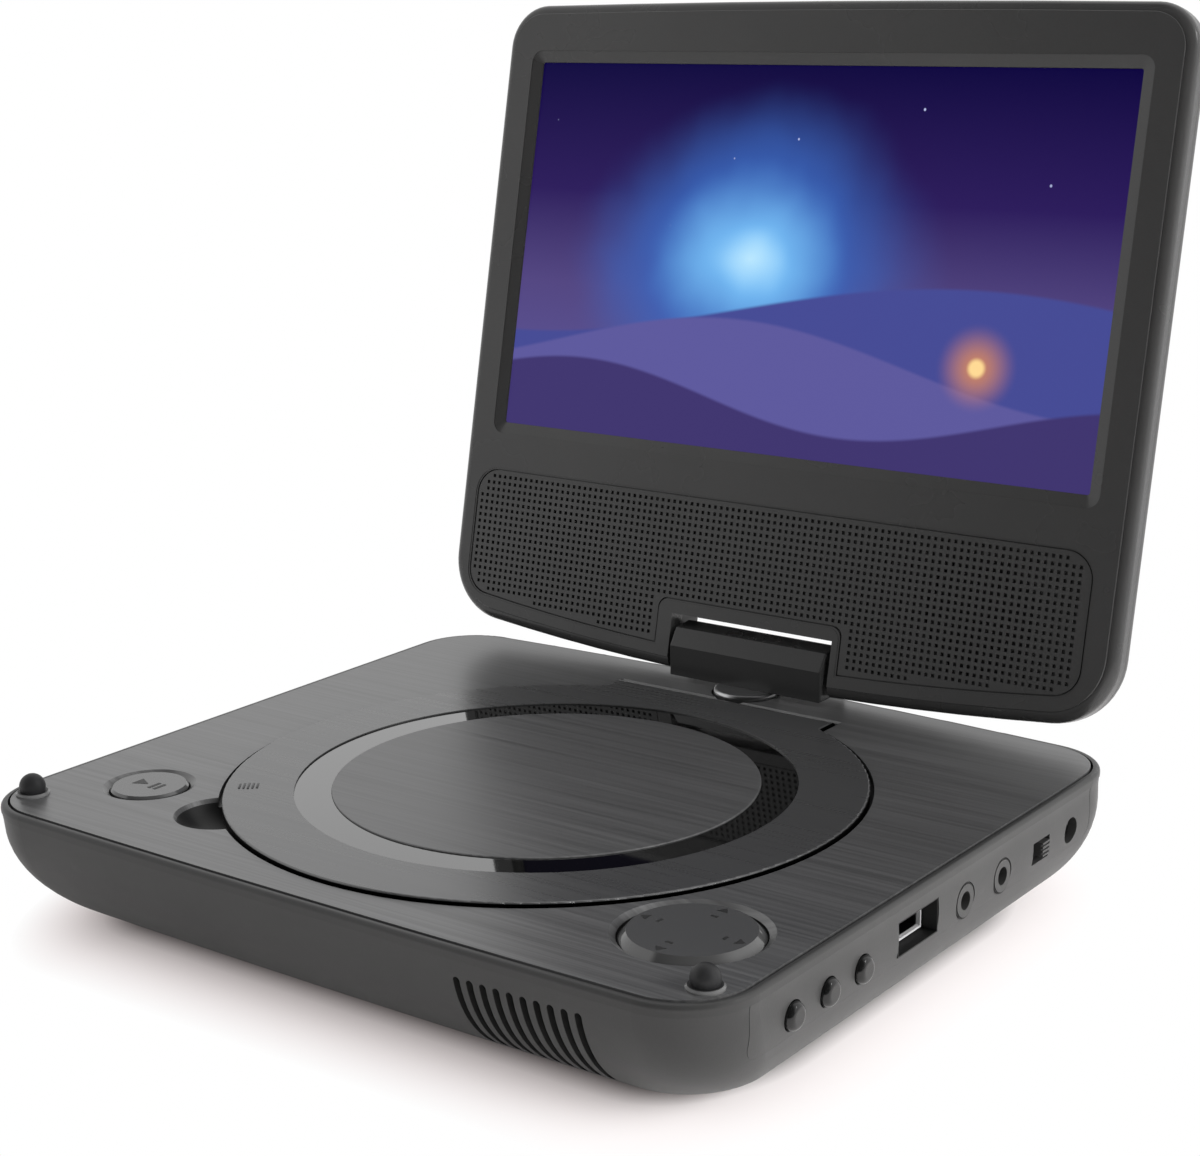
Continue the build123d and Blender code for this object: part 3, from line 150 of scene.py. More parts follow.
# ---- Upper case and disc tray
# The upper moulding is the thin rim band round the top plate and the deck under it.
# Its finger scoop beside the door is painted near black as painted shade in the hollow. The disc tray hangs
# under it by three ears in plain black.
def round_mask():
    """A mask that is nothing inside an upright cylinder and one outside it."""
    group = bpy.data.node_groups.new("Round mask", "ShaderNodeTree")
    group.interface.new_socket("Centre", in_out="INPUT", socket_type="NodeSocketVector")
    group.interface.new_socket("Radius", in_out="INPUT", socket_type="NodeSocketFloat")
    group.interface.new_socket("Mask", in_out="OUTPUT", socket_type="NodeSocketFloat")
    add = group.nodes.new
    link = group.links.new
    inside, outside = add("NodeGroupInput"), add("NodeGroupOutput")
    place, away = add("ShaderNodeTexCoord"), add("ShaderNodeVectorMath")
    away.operation = "SUBTRACT"
    flat = add("ShaderNodeVectorMath")
    flat.operation = "MULTIPLY"
    flat.inputs[1].default_value = (1, 1, 0)
    reach = add("ShaderNodeVectorMath")
    reach.operation = "LENGTH"
    past = add("ShaderNodeMath")
    past.operation = "SUBTRACT"
    edge = add("ShaderNodeMapRange")
    edge.inputs["From Min"].default_value = -0.0001
    edge.inputs["From Max"].default_value = 0.0001
    link(place.outputs["Object"], away.inputs[0])
    link(inside.outputs["Centre"], away.inputs[1])
    link(away.outputs["Vector"], flat.inputs[0])
    link(flat.outputs["Vector"], reach.inputs[0])
    link(reach.outputs["Value"], past.inputs[0])
    link(inside.outputs["Radius"], past.inputs[1])
    link(past.outputs[0], edge.inputs["Value"])
    link(edge.outputs["Result"], outside.inputs["Mask"])
    return group


round_group = round_mask()


def blend_finish(material, group, limits, side, colour, roughness, metallic=0.0):
    """Gives a finish another colour and gloss where a mask group is at its low (0) or high (1) side."""
    tree = material.node_tree
    shader = tree.nodes["Principled BSDF"]
    mask = tree.nodes.new("ShaderNodeGroup")
    mask.node_tree = group
    for name, value in limits.items():
        mask.inputs[name].default_value = value
    for name, value in (("Roughness", roughness), ("Metallic", metallic)):
        blend = tree.nodes.new("ShaderNodeMix")
        blend.inputs[2 + side].default_value = value
        blend.inputs[3 - side].default_value = shader.inputs[name].default_value
        if shader.inputs[name].is_linked:
            tree.links.new(shader.inputs[name].links[0].from_socket, blend.inputs[3 - side])
        tree.links.new(mask.outputs["Mask"], blend.inputs["Factor"])
        tree.links.new(blend.outputs[0], shader.inputs[name])
    blend = tree.nodes.new("ShaderNodeMix")
    blend.data_type = "RGBA"
    blend.inputs[6 + side].default_value = (*colour, 1)
    tree.links.new(shader.inputs["Base Color"].links[0].from_socket, blend.inputs[7 - side])
    tree.links.new(mask.outputs["Mask"], blend.inputs["Factor"])
    tree.links.new(blend.outputs[2], shader.inputs["Base Color"])


upper_plastic = plastic("Dark upper case plastic", case_colour, 0.4, specular=0.35)
door_centre = Vector((0, -0.004, 0))
scoop_angle, scoop_from_door, scoop_reach = radians(230), 0.0656, 0.0099
scoop_middle = door_centre + scoop_from_door * Vector((cos(scoop_angle), sin(scoop_angle), 0))
# Painted shade: a round patch over the finger scoop is near black and glossier.
scoop_painted_shade = {"Centre": scoop_middle, "Radius": scoop_reach}
blend_finish(upper_plastic, round_group, scoop_painted_shade, 0, (0.007, 0.007, 0.007), 0.35)
give(upper_plastic, "base_upper_case")
black_plastic = plastic("Black moulding", (0.0136, 0.0136, 0.0143), 0.42)
give(black_plastic, "disc_tray")


# ---- Feet, bumpers and grommets
# Feet, screen bumpers and drive grommets are soft black rubber with a powdery face.
# Each bumper stands in a smooth grey collar that lies on the top plate.
rubber = plastic("Soft rubber", (0.0136, 0.0136, 0.0143), 0.46, grain=4200.0, depth=0.00002, drift=0.3)
give(rubber, "rubber_feet", "drive_grommets")


def height_mask():
    """A mask that rises from nothing to one between two heights."""
    group = bpy.data.node_groups.new("Height mask", "ShaderNodeTree")
    group.interface.new_socket("Low", in_out="INPUT", socket_type="NodeSocketFloat")
    group.interface.new_socket("High", in_out="INPUT", socket_type="NodeSocketFloat")
    group.interface.new_socket("Mask", in_out="OUTPUT", socket_type="NodeSocketFloat")
    add = group.nodes.new
    link = group.links.new
    inside, outside = add("NodeGroupInput"), add("NodeGroupOutput")
    place, parts, rise = add("ShaderNodeTexCoord"), add("ShaderNodeSeparateXYZ"), add("ShaderNodeMapRange")
    link(place.outputs["Object"], parts.inputs[0])
    link(parts.outputs["Z"], rise.inputs["Value"])
    link(inside.outputs["Low"], rise.inputs["From Min"])
    link(inside.outputs["High"], rise.inputs["From Max"])
    link(rise.outputs["Result"], outside.inputs["Mask"])
    return group


height_group = height_mask()
bumper_rubber = plastic("Bumper rubber", (0.012, 0.012, 0.0125), 0.5, grain=4200.0, depth=0.00001, drift=0.2,
                        specular=0.35)
plate_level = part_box("top_plate")[1][2]
collar_height = 0.0007
collar_top = {"Low": plate_level + collar_height - 0.0001, "High": plate_level + collar_height}
blend_finish(bumper_rubber, height_group, collar_top, 0, (0.08, 0.08, 0.08), 0.22)
give(bumper_rubber, "screen_bumpers")


# ---- Fixings and drive metal
# Screws, pins, rods and shafts are turned steel; chassis, brackets and display tray are pressed sheet.
def turned_metal(name, colour, roughness, rings=1200.0):
    """Bare metal with tool marks."""
    made = bpy.data.materials.new(name)
    made.use_nodes = True
    tree = made.node_tree
    shader = tree.nodes["Principled BSDF"]
    shader.inputs["Metallic"].default_value = 1.0
    texture = tree.nodes.new("ShaderNodeGroup")
    texture.node_tree = grain_group
    texture.inputs["Colour"].default_value = (*colour, 1)
    texture.inputs["Grain per metre"].default_value = rings
    texture.inputs["Roughness"].default_value = roughness
    texture.inputs["Drift"].default_value = 0.2
    bump = tree.nodes.new("ShaderNodeBump")
    bump.inputs["Distance"].default_value = 0.000006
    tree.links.new(texture.outputs["Colour"], shader.inputs["Base Color"])
    tree.links.new(texture.outputs["Roughness"], shader.inputs["Roughness"])
    tree.links.new(texture.outputs["Height"], bump.inputs["Height"])
    tree.links.new(bump.outputs["Normal"], shader.inputs["Normal"])
    return made


steel = turned_metal("Turned steel", (0.5, 0.5, 0.5), 0.3)
give(steel, "case_screws", "inner_screws", "lid_screws", "hinge_pins", "swivel_shaft", "swivel_nut",
     "guide_rods", "spindle_motor", "sled_motor", "lead_screw", "door_hinge_pins")
sheet_steel = turned_metal("Pressed sheet", (0.6, 0.6, 0.6), 0.4, rings=300.0)
give(sheet_steel, "drive_chassis", "hinge_brackets", "lcd_frame")
brass = turned_metal("Turned brass", (0.7, 0.5, 0.2), 0.3)
give(brass, "swivel_bush")


# ---- Inner plastics, boards and battery
# Switch bodies, the disc hub and the sled are black mouldings; the boards are green lacquered laminate.
# The battery pack is wrapped in blue shrink sleeve.
give(black_plastic, "dc_inlet", "power_switch_body", "side_switches", "nav_key_switches", "play_key_switch",
     "spindle_hub", "optical_sled", "board_components", "speakers")
board_green = plastic("Lacquered board", (0.02, 0.12, 0.05), 0.3, grain=700.0, drift=0.3)
give(board_green, "main_board", "nav_key_board", "play_key_board", "lid_board")
battery_sleeve = plastic("Battery sleeve", (0.03, 0.1, 0.3), 0.3, grain=500.0)
give(battery_sleeve, "battery_pack")
lens_coat = plastic("Coated lens", (0.08, 0.05, 0.2), 0.05, coat=1.0)
give(lens_coat, "sled_lens")
bright_plate = turned_metal("Bright plated steel", (0.86, 0.86, 0.87), 0.3, rings=700.0)
give(bright_plate, "clamp_balls")


# ---- Top plate
# A thin dark metallic sheet with straight hairlines from side to side is let into the rim.
coat_swing = 2.4  # how much more than the colour the coat varies from line to line
coat_ior = 3.0  # high, so that the lines show as much head-on as at a low angle


def hairline_finish():
    """Straight hairlines along X in a dark metallic skin."""
    group = bpy.data.node_groups.new("Hairline finish", "ShaderNodeTree")
    face = group.interface
    face.new_socket("Colour", in_out="INPUT", socket_type="NodeSocketColor")
    face.new_socket("Contrast", in_out="INPUT", socket_type="NodeSocketFloat")
    face.new_socket("Roughness", in_out="INPUT", socket_type="NodeSocketFloat")
    face.new_socket("Glint", in_out="INPUT", socket_type="NodeSocketFloat")
    face.new_socket("Colour", in_out="OUTPUT", socket_type="NodeSocketColor")
    face.new_socket("Roughness", in_out="OUTPUT", socket_type="NodeSocketFloat")
    face.new_socket("Coat", in_out="OUTPUT", socket_type="NodeSocketFloat")
    face.new_socket("Height", in_out="OUTPUT", socket_type="NodeSocketFloat")
    add = group.nodes.new
    link = group.links.new
    inside, outside = add("NodeGroupInput"), add("NodeGroupOutput")
    place = add("ShaderNodeTexCoord")
    total = None
    for along, across, share in ((18.0, 1900.0, 0.35), (11.0, 850.0, 0.45), (7.0, 300.0, 0.2)):
        stretch = add("ShaderNodeMapping")
        stretch.inputs["Scale"].default_value = (along, across, 1.0)
        link(place.outputs["Object"], stretch.inputs["Vector"])
        streak = add("ShaderNodeTexNoise")
        streak.inputs["Scale"].default_value = 1.0
        streak.inputs["Detail"].default_value = 2.0
        link(stretch.outputs["Vector"], streak.inputs["Vector"])
        part = add("ShaderNodeMath")
        part.operation = "MULTIPLY_ADD"
        part.inputs[1].default_value = share
        part.inputs[2].default_value = 0.0
        link(streak.outputs["Fac"], part.inputs[0])
        if total is not None:
            link(total.outputs[0], part.inputs[2])
        total = part
    centred = add("ShaderNodeMath")
    centred.operation = "SUBTRACT"
    centred.inputs[1].default_value = 0.5
    link(total.outputs[0], centred.inputs[0])
    strength = add("ShaderNodeMath")
    strength.operation = "MULTIPLY"
    link(centred.outputs[0], strength.inputs[0])
    link(inside.outputs["Contrast"], strength.inputs[1])
    lift = add("ShaderNodeMath")
    lift.operation = "ADD"
    lift.inputs[1].default_value = 1.0
    link(strength.outputs[0], lift.inputs[0])
    tint = add("ShaderNodeVectorMath")
    tint.operation = "SCALE"
    link(inside.outputs["Colour"], tint.inputs["Vector"])
    link(lift.outputs[0], tint.inputs["Scale"])
    link(tint.outputs["Vector"], outside.inputs["Colour"])
    rough = add("ShaderNodeMath")
    rough.operation = "MULTIPLY_ADD"
    rough.inputs[1].default_value = 0.25
    link(centred.outputs[0], rough.inputs[0])
    link(inside.outputs["Roughness"], rough.inputs[2])
    link(rough.outputs[0], outside.inputs["Roughness"])
    sheen = add("ShaderNodeMath")
    sheen.operation = "MULTIPLY_ADD"
    sheen.inputs[1].default_value = coat_swing
    sheen.inputs[2].default_value = 1.0
    link(strength.outputs[0], sheen.inputs[0])
    coat = add("ShaderNodeMath")
    coat.operation = "MULTIPLY"
    link(sheen.outputs[0], coat.inputs[0])
    link(inside.outputs["Glint"], coat.inputs[1])
    link(coat.outputs[0], outside.inputs["Coat"])
    link(total.outputs[0], outside.inputs["Height"])
    return group


hairline_group = hairline_finish()


def hairline(name, colour, roughness, contrast, specular, glint=0.0, depth=0.00001):
    """A dark skin with hairlines from side to side; the glint is a thin clear coat that follows them."""
    made = bpy.data.materials.new(name)
    made.use_nodes = True
    tree = made.node_tree
    shader = tree.nodes["Principled BSDF"]
    shader.inputs["Specular IOR Level"].default_value = specular
    texture = tree.nodes.new("ShaderNodeGroup")
    texture.node_tree = hairline_group
    texture.inputs["Colour"].default_value = (*colour, 1)
    texture.inputs["Contrast"].default_value = contrast
    texture.inputs["Roughness"].default_value = roughness
    texture.inputs["Glint"].default_value = glint
    shader.inputs["Coat IOR"].default_value = coat_ior
    shader.inputs["Coat Roughness"].default_value = roughness
    bump = tree.nodes.new("ShaderNodeBump")
    bump.inputs["Distance"].default_value = depth
    tree.links.new(texture.outputs["Coat"], shader.inputs["Coat Weight"])
    tree.links.new(texture.outputs["Colour"], shader.inputs["Base Color"])
    tree.links.new(texture.outputs["Roughness"], shader.inputs["Roughness"])
    tree.links.new(texture.outputs["Height"], bump.inputs["Height"])
    tree.links.new(bump.outputs["Normal"], shader.inputs["Normal"])
    return made


plate_skin = hairline("Hairline plate", (0.05, 0.05, 0.0505), 0.33, contrast=2.4, specular=0.75, glint=0.08)
give(plate_skin, "top_plate")


# ---- Disc door
# The door is a satin dark moulding with a brushed centre disc and a polished black ring in a groove.
# Five short black grip ribs stand on it beside the finger scoop. Its wall below the top edge is painted black
# as painted shade in the gap round it.
door_skin = hairline("Satin door skin", (0.034, 0.034, 0.0345), 0.29, contrast=0.5, specular=1.05,
                     depth=0.000004)
door_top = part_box("disc_door")[1][2]
door_thickness = 0.002
# Painted shade: the door's wall a little below its top edge turns black, as the gap round it is in shade.
painted_gap_shade_depth = {"Low": door_top - 0.00035, "High": door_top - 0.0002}
blend_finish(door_skin, height_group, painted_gap_shade_depth, 0, (0.002, 0.002, 0.002), 0.6, metallic=1.0)
underside = {"Low": door_top - door_thickness + 0.00005, "High": door_top - door_thickness + 0.0001}
blend_finish(door_skin, height_group, underside, 0, (0.0136, 0.0136, 0.0143), 0.6)
give(door_skin, "disc_door")
centre_skin = hairline("Hairline centre", (0.047, 0.047, 0.0475), 0.4, contrast=2.0, specular=0.7, glint=0.08)
give(centre_skin, "door_centre_disc")
gloss_black = plastic("Polished black", (0.0015, 0.0015, 0.0015), 0.04, grain=900.0, depth=0.0000008,
                      drift=0.05, specular=1.0, coat=0.6)
give(gloss_black, "door_gloss_ring")

rib_length, rib_width, rib_height = 0.0034, 0.00045, 0.00016
rib_pitch, rib_edge, rib_sunk = 0.0009, 0.00008, 0.00004
rib_reach = 0.0603
rib_angle = radians(218)
rib_level = door_top + rib_height / 2 - rib_sunk


def join_pieces(pieces, name):
    """Makes one mesh of several pieces."""
    bpy.ops.object.select_all(action="DESELECT")
    for piece in pieces:
        piece.select_set(True)
    bpy.context.view_layer.objects.active = pieces[0]
    bpy.ops.object.join()
    joined = bpy.context.object
    joined.name = name
    return joined


ribs = []
for step in (-2, -1, 0, 1, 2):
    bpy.ops.object.select_all(action="DESELECT")
    bpy.ops.mesh.primitive_cube_add(size=1.0)
    rib = bpy.context.object
    bpy.ops.object.mode_set(mode="EDIT")
    bpy.ops.transform.resize(value=(rib_length - 0.0003 * abs(step), rib_width, rib_height))
    bpy.ops.mesh.bevel(offset=rib_edge, segments=2, affect="EDGES")
    bpy.ops.object.mode_set(mode="OBJECT")
    along = Vector((cos(rib_angle), sin(rib_angle), 0))
    middle = door_centre + along * (rib_reach - step * rib_pitch)
    turned = Matrix.Rotation(rib_angle + pi / 2, 4, "Z")
    rib.data.transform(Matrix.Translation((middle.x, middle.y, rib_level)) @ turned)
    rib.location = (0, 0, 0)
    ribs.append(rib)
grip_ribs = join_pieces(ribs, "door_grip_ribs")
bpy.ops.object.shade_smooth_by_angle(angle=radians(30))
grip_ribs.data.materials.append(rubber)
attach(grip_ribs, "door")


# ---- Port panel
# A separate moulded strip follows the right wall and frames the sockets and side keys.
panel_plastic = plastic("Port panel plastic", (0.029, 0.0287, 0.0285), 0.4, specular=0.35)
give(panel_plastic, "port_panel")


# ---- Sockets
# The two round sockets are moulded noses with a deep bore, each in a black ring that is painted shade in the
# gap round the nose. The USB shell is plated steel, darker inside as painted shade, behind a black sleeve
# that fills the edge of its opening as painted shade in the gap; a grey tongue carries its contacts.
tongue_plastic = plastic("Socket tongue plastic", (0.1, 0.1, 0.1), 0.4)
give(tongue_plastic, "usb_tongue")
give(panel_plastic, "headphone_jack", "av_jack")
# Painted shade: the shell's inside is a darker copy of the plated steel of its edge.
shell_painted_shade = turned_metal("Shaded plated steel", (0.16, 0.16, 0.16), 0.35, rings=700.0)
give(shell_painted_shade, "usb_shell")
# Near-black plastic used as painted shade in the socket gaps.
gap_shade_black = plastic("Gap shade black", (0.003, 0.003, 0.003), 0.6)
shell_edge = turned_metal("Plated steel edge", (0.5, 0.5, 0.505), 0.4, rings=700.0)
shell_edge.node_tree.nodes["Principled BSDF"].inputs["Metallic"].default_value = 0.3


def open_frame(name, middle, width, height, near, far, wall):
    """A square-cornered tube along X between two places, open at both ends."""
    bpy.ops.object.select_all(action="DESELECT")
    bpy.ops.mesh.primitive_plane_add(size=1.0)
    made = bpy.context.object
    made.name = name
    bpy.ops.object.mode_set(mode="EDIT")
    bpy.ops.mesh.select_all(action="SELECT")
    bpy.ops.transform.resize(value=(width, height, 1))
    bpy.ops.mesh.inset(thickness=wall)
    bpy.ops.mesh.delete(type="FACE")
    bpy.ops.mesh.select_all(action="SELECT")
    bpy.ops.mesh.extrude_region_move(TRANSFORM_OT_translate={"value": (0, 0, far - near)})
    bpy.ops.mesh.select_all(action="SELECT")
    bpy.ops.mesh.normals_make_consistent(inside=False)
    bpy.ops.object.mode_set(mode="OBJECT")
    outward = Matrix(((0, 0, 1, near), (1, 0, 0, middle[0]), (0, 1, 0, middle[1]), (0, 0, 0, 1)))
    made.data.transform(outward)
    made.location = (0, 0, 0)
    return made


shell_low, shell_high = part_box("usb_shell")
usb_level, port_level = 0.0187, 0.0179
usb_middle = ((shell_low[1] + shell_high[1]) / 2, usb_level)
shell_width, shell_height = shell_high[1] - shell_low[1], 0.0057
# Painted shade: a black sleeve round the USB shell fills the gap to the panel.
shade_sleeve_width, shade_sleeve_height, shade_sleeve_wall = 0.01455, 0.00675, 0.00025
lip_near, lip_far, lip_wall = 0.00005, 0.0009, 0.00042
panel_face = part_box("port_panel")[1][0]
shade_sleeve = open_frame("usb_shade_sleeve", usb_middle, shade_sleeve_width, shade_sleeve_height,
                   shell_high[0] - 0.0014, panel_face - 0.0002, shade_sleeve_wall)
shade_sleeve.data.materials.append(gap_shade_black)
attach(shade_sleeve, "base")
lips = open_frame("usb_shell_lips", usb_middle, shell_width, shell_height,
                  shell_high[0] + lip_near, shell_high[0] + lip_far, lip_wall)
lips.data.materials.append(shell_edge)
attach(lips, "base")

# Painted shade: each jack nose gets a black ring where the gap round it is in shade.
shade_ring_radius, shade_ring_thickness, shade_ring_sunk = 0.0034, 0.00036, 0.0003
bpy.ops.object.select_all(action="DESELECT")
bpy.ops.mesh.primitive_circle_add(vertices=8, radius=shade_ring_thickness / 2, location=(shade_ring_radius, 0, 0),
                                  rotation=(pi / 2, 0, 0))
shade_ring = bpy.context.object
bpy.ops.object.transform_apply()
bpy.ops.object.mode_set(mode="EDIT")
bpy.ops.mesh.select_all(action="SELECT")
bpy.ops.mesh.spin(steps=48, angle=2 * pi, center=(0, 0, 0), axis=(0, 0, 1))
bpy.ops.mesh.select_all(action="SELECT")
bpy.ops.mesh.remove_doubles(threshold=0.000001)
bpy.ops.mesh.normals_make_consistent(inside=False)
bpy.ops.object.mode_set(mode="OBJECT")
shade_ring.data.transform(Matrix.Rotation(pi / 2, 4, "Y"))


def copies_at(piece, places):
    """Copies of a piece, each with its own mesh, in their places; the pattern piece is taken away."""
    copies = []
    for place in places:
        made = bpy.data.objects.new(piece.name, piece.data.copy())
        bpy.context.scene.collection.objects.link(made)
        made.data.transform(place)
        copies.append(made)
    bpy.data.objects.remove(piece)
    return copies


jack_ends = [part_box(jack) for jack in ("headphone_jack", "av_jack")]
shade_ring_places = [Matrix.Translation((panel_face - shade_ring_sunk, (low[1] + high[1]) / 2, port_level))
               for low, high in jack_ends]
jack_shade_rings = join_pieces(copies_at(shade_ring, shade_ring_places), "jack_shade_rings")
bpy.ops.object.shade_smooth()
jack_shade_rings.data.materials.append(gap_shade_black)
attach(jack_shade_rings, "base")


# ---- Keys
# The round keys are moulded in dark grey with a polished bevel and sit in dishes in the plate.
# Arrows and the play and pause sign are printed on them in thin raised ink.
def key_finish(name, middle, flat_radius):
    """Satin key face inside the given radius and a polished dark bevel outside it."""
    made = plastic(name, (0.046, 0.046, 0.046), 0.26, grain=3200.0, depth=0.000004, drift=0.08,
                   specular=0.85)
    edge = {"Centre": (*middle, 0), "Radius": flat_radius}
    blend_finish(made, round_group, edge, 1, (0.04, 0.04, 0.04), 0.1)
    return made


def middle_of(name):
    """The middle of a node's box and its top, in metres."""
    low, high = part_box(name)
    return ((low[0] + high[0]) / 2, (low[1] + high[1]) / 2), high[2]


nav_middle, nav_top = middle_of("nav_pad")
play_middle, play_top = middle_of("play_button")
nav_face, play_face = 0.0114, 0.0074
give(key_finish("Nav key plastic", nav_middle, nav_face), "nav_pad")
give(key_finish("Play key plastic", play_middle, play_face), "play_button")
side_key_plastic = plastic("Side key plastic", (0.005, 0.005, 0.005), 0.16, grain=3200.0, depth=0.000004,
                           drift=0.08)
give(side_key_plastic, "side_button_front", "side_button_middle", "side_button_rear")
give(panel_plastic, "power_switch_knob")
key_ink = plastic("Key ink", (0.008, 0.008, 0.008), 0.5, grain=5000.0, depth=0.000002)
ink_height, ink_sunk = 0.00006, 0.00001


def printed_mark(name, corners):
    """A thin raised mark with the given corners."""
    bpy.ops.object.select_all(action="DESELECT")
    bpy.ops.mesh.primitive_circle_add(vertices=len(corners), radius=0.001, fill_type="NGON")
    mark = bpy.context.object
    mark.name = name
    for point, (x, y) in zip(mark.data.vertices, corners):
        point.co = (x, y, 0)
    bpy.ops.object.mode_set(mode="EDIT")
    bpy.ops.mesh.select_all(action="SELECT")
    bpy.ops.mesh.extrude_region_move(TRANSFORM_OT_translate={"value": (0, 0, ink_height)})
    bpy.ops.mesh.select_all(action="SELECT")
    bpy.ops.mesh.normals_make_consistent(inside=False)
    bpy.ops.object.mode_set(mode="OBJECT")
    mark.data.materials.append(key_ink)
    return mark


def finish_marks(marks, name, body):
    """Makes one piece of a key's marks and lets it ride on the key."""
    joined = join_pieces(marks, name)
    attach(joined, body)


arrow_reach, arrow_length, arrow_half = 0.0092, 0.0016, 0.0011
dash_reach, dash_half, dash_depth = 0.0068, 0.0007, 0.0003
arrow = [(arrow_reach + arrow_length, 0), (arrow_reach, arrow_half), (arrow_reach, -arrow_half)]
dash = [(dash_reach + dash_depth, -dash_half), (dash_reach + dash_depth, dash_half),
        (dash_reach - dash_depth, dash_half), (dash_reach - dash_depth, -dash_half)]
on_nav = Matrix.Translation((*nav_middle, nav_top - ink_sunk))
quarters = [on_nav @ Matrix.Rotation(quarter * pi / 2, 4, "Z") for quarter in range(4)]
nav_marks = copies_at(printed_mark("arrow", arrow), quarters)
nav_marks += copies_at(printed_mark("dash", dash), quarters)
finish_marks(nav_marks, "nav_pad_marks", "nav_key")

sign_half, sign_left, sign_tip = 0.0016, -0.0035, -0.0004
bar_width, bar_starts = 0.00075, (0.0010, 0.0025)
play_sign = [(sign_left, sign_half), (sign_left, -sign_half), (sign_tip, 0)]
bar = [(0, sign_half), (0, -sign_half), (bar_width, -sign_half), (bar_width, sign_half)]
on_play = Matrix.Translation((*play_middle, play_top - ink_sunk))
bar_places = [on_play @ Matrix.Translation((start, 0, 0)) for start in bar_starts]
play_marks = copies_at(printed_mark("play_sign", play_sign), [on_play])
play_marks += copies_at(printed_mark("pause_bar", bar), bar_places)
finish_marks(play_marks, "play_button_marks", "play_key")


# ---- Hinge
# The neck block is moulded in satin dark plastic. It turns on a plated turntable over the swivel shaft.
hinge_plastic = plastic("Hinge plastic", (0.02, 0.02, 0.02), 0.27)
give(hinge_plastic, "hinge_block")
turntable_plate = turned_metal("Plated turntable", (0.5, 0.5, 0.505), 0.38, rings=1500.0)
give(turntable_plate, "turntable")


# ---- Screen half casing
# The front frame is moulded in satin grey and the rounded back cover in the case plastic; they are screwed
# together from behind.
bezel_plastic = plastic("Screen frame plastic", (0.027, 0.0268, 0.0266), 0.27)
give(bezel_plastic, "lid_bezel")
give(case_plastic, "lid_back_cover")


# ---- Speaker panel
# A thin moulding pierced by rows of fine square holes, pressed into the lower part of the front frame.
# The speakers sit behind it, so the holes over them look deeper.
lean = radians(12.2)
tilt_axis = Vector((0, 0.074, 0.0344))
into_lid = Matrix.Translation(tilt_axis) @ Matrix.Rotation(-lean, 4, "X")
hole_pitch, hole_side, hole_edge = 0.001625, 0.0008, 0.0005
panel_low, panel_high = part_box("speaker_grille")
left_margin, right_margin = 0.0012, 0.0011
first_column = panel_low[0] + left_margin
columns = int((panel_high[0] - right_margin - first_column) / hole_pitch) + 1
first_row, rows = -0.0001, 21
peg_front, peg_back = -0.0052, -0.0022

panel = bpy.data.objects.new("perforated_speaker_panel", nodes["speaker_grille"].data.copy())
bpy.context.scene.collection.objects.link(panel)
bpy.ops.object.select_all(action="DESELECT")
panel.select_set(True)
bpy.context.view_layer.objects.active = panel
bpy.ops.object.mode_set(mode="EDIT")
bpy.ops.mesh.select_all(action="SELECT")
bpy.ops.mesh.remove_doubles(threshold=0.000001)
bpy.ops.object.mode_set(mode="OBJECT")
bpy.context.view_layer.update()


probe_front, probe_length = -0.02, 0.03


def on_panel(x, z):
    """Whether a spot of the upright lid plane lies on the speaker panel."""
    start = into_lid @ Vector((x, probe_front, z))
    straight = into_lid.to_3x3() @ Vector((0, 1, 0))
    return panel.ray_cast(start, straight, distance=probe_length)[0]


reach = hole_side / 2 + hole_edge
bpy.ops.object.select_all(action="DESELECT")
bpy.ops.mesh.primitive_cube_add(size=1.0)
pegs = bpy.context.object
bpy.ops.object.mode_set(mode="EDIT")
bpy.ops.transform.resize(value=(hole_side, peg_back - peg_front, hole_side))
bpy.ops.transform.translate(value=(first_column, (peg_front + peg_back) / 2, first_row))
bpy.ops.object.mode_set(mode="OBJECT")
for way, count in (((hole_pitch, 0, 0), columns), ((0, 0, hole_pitch), rows)):
    row = pegs.modifiers.new("Row", "ARRAY")
    row.use_relative_offset = False
    row.use_constant_offset = True
    row.constant_offset_displace = way
    row.count = count
    bpy.ops.object.modifier_apply(modifier=row.name)
bpy.ops.object.mode_set(mode="EDIT")
bpy.ops.mesh.select_mode(type="VERT")
bpy.ops.mesh.select_all(action="DESELECT")
bpy.ops.object.mode_set(mode="OBJECT")
corners_per_peg = 8
for peg in range(rows * columns):
    x = first_column + peg % columns * hole_pitch
    z = first_row + peg // columns * hole_pitch
    off = not all(on_panel(x + sx * reach, z + sz * reach) for sx in (-1, 1) for sz in (-1, 1))
    for point in pegs.data.vertices[peg * corners_per_peg:(peg + 1) * corners_per_peg]:
        point.select = off
bpy.ops.object.mode_set(mode="EDIT")
bpy.ops.mesh.delete(type="VERT")
bpy.ops.object.mode_set(mode="OBJECT")
pegs.data.transform(into_lid)

bpy.context.view_layer.objects.active = panel
holes = panel.modifiers.new("Holes", "BOOLEAN")
holes.operation = "DIFFERENCE"
holes.solver = "MANIFOLD"
holes.object = pegs
bpy.ops.object.modifier_apply(modifier=holes.name)
bpy.data.objects.remove(pegs)
panel.data.materials.clear()
panel.data.materials.append(bezel_plastic)
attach(panel, "screen_half")
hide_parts("speaker_grille")


# ---- Display
# A matt display in its steel tray, lit from behind. It shows a generic evening picture: rounded hills
# under an indigo sky, a pale blue glow behind them and one warm light low on the right.
light_guide = plastic("Light guide", (0.8, 0.8, 0.8), 0.5)
give(light_guide, "lcd_backlight")
screen_low = into_lid @ Vector((0, 0, 0.046))
screen_width, screen_height = 0.15408, 0.08658
side_loss = 0.93  # share of the light that such a display loses well off its axis


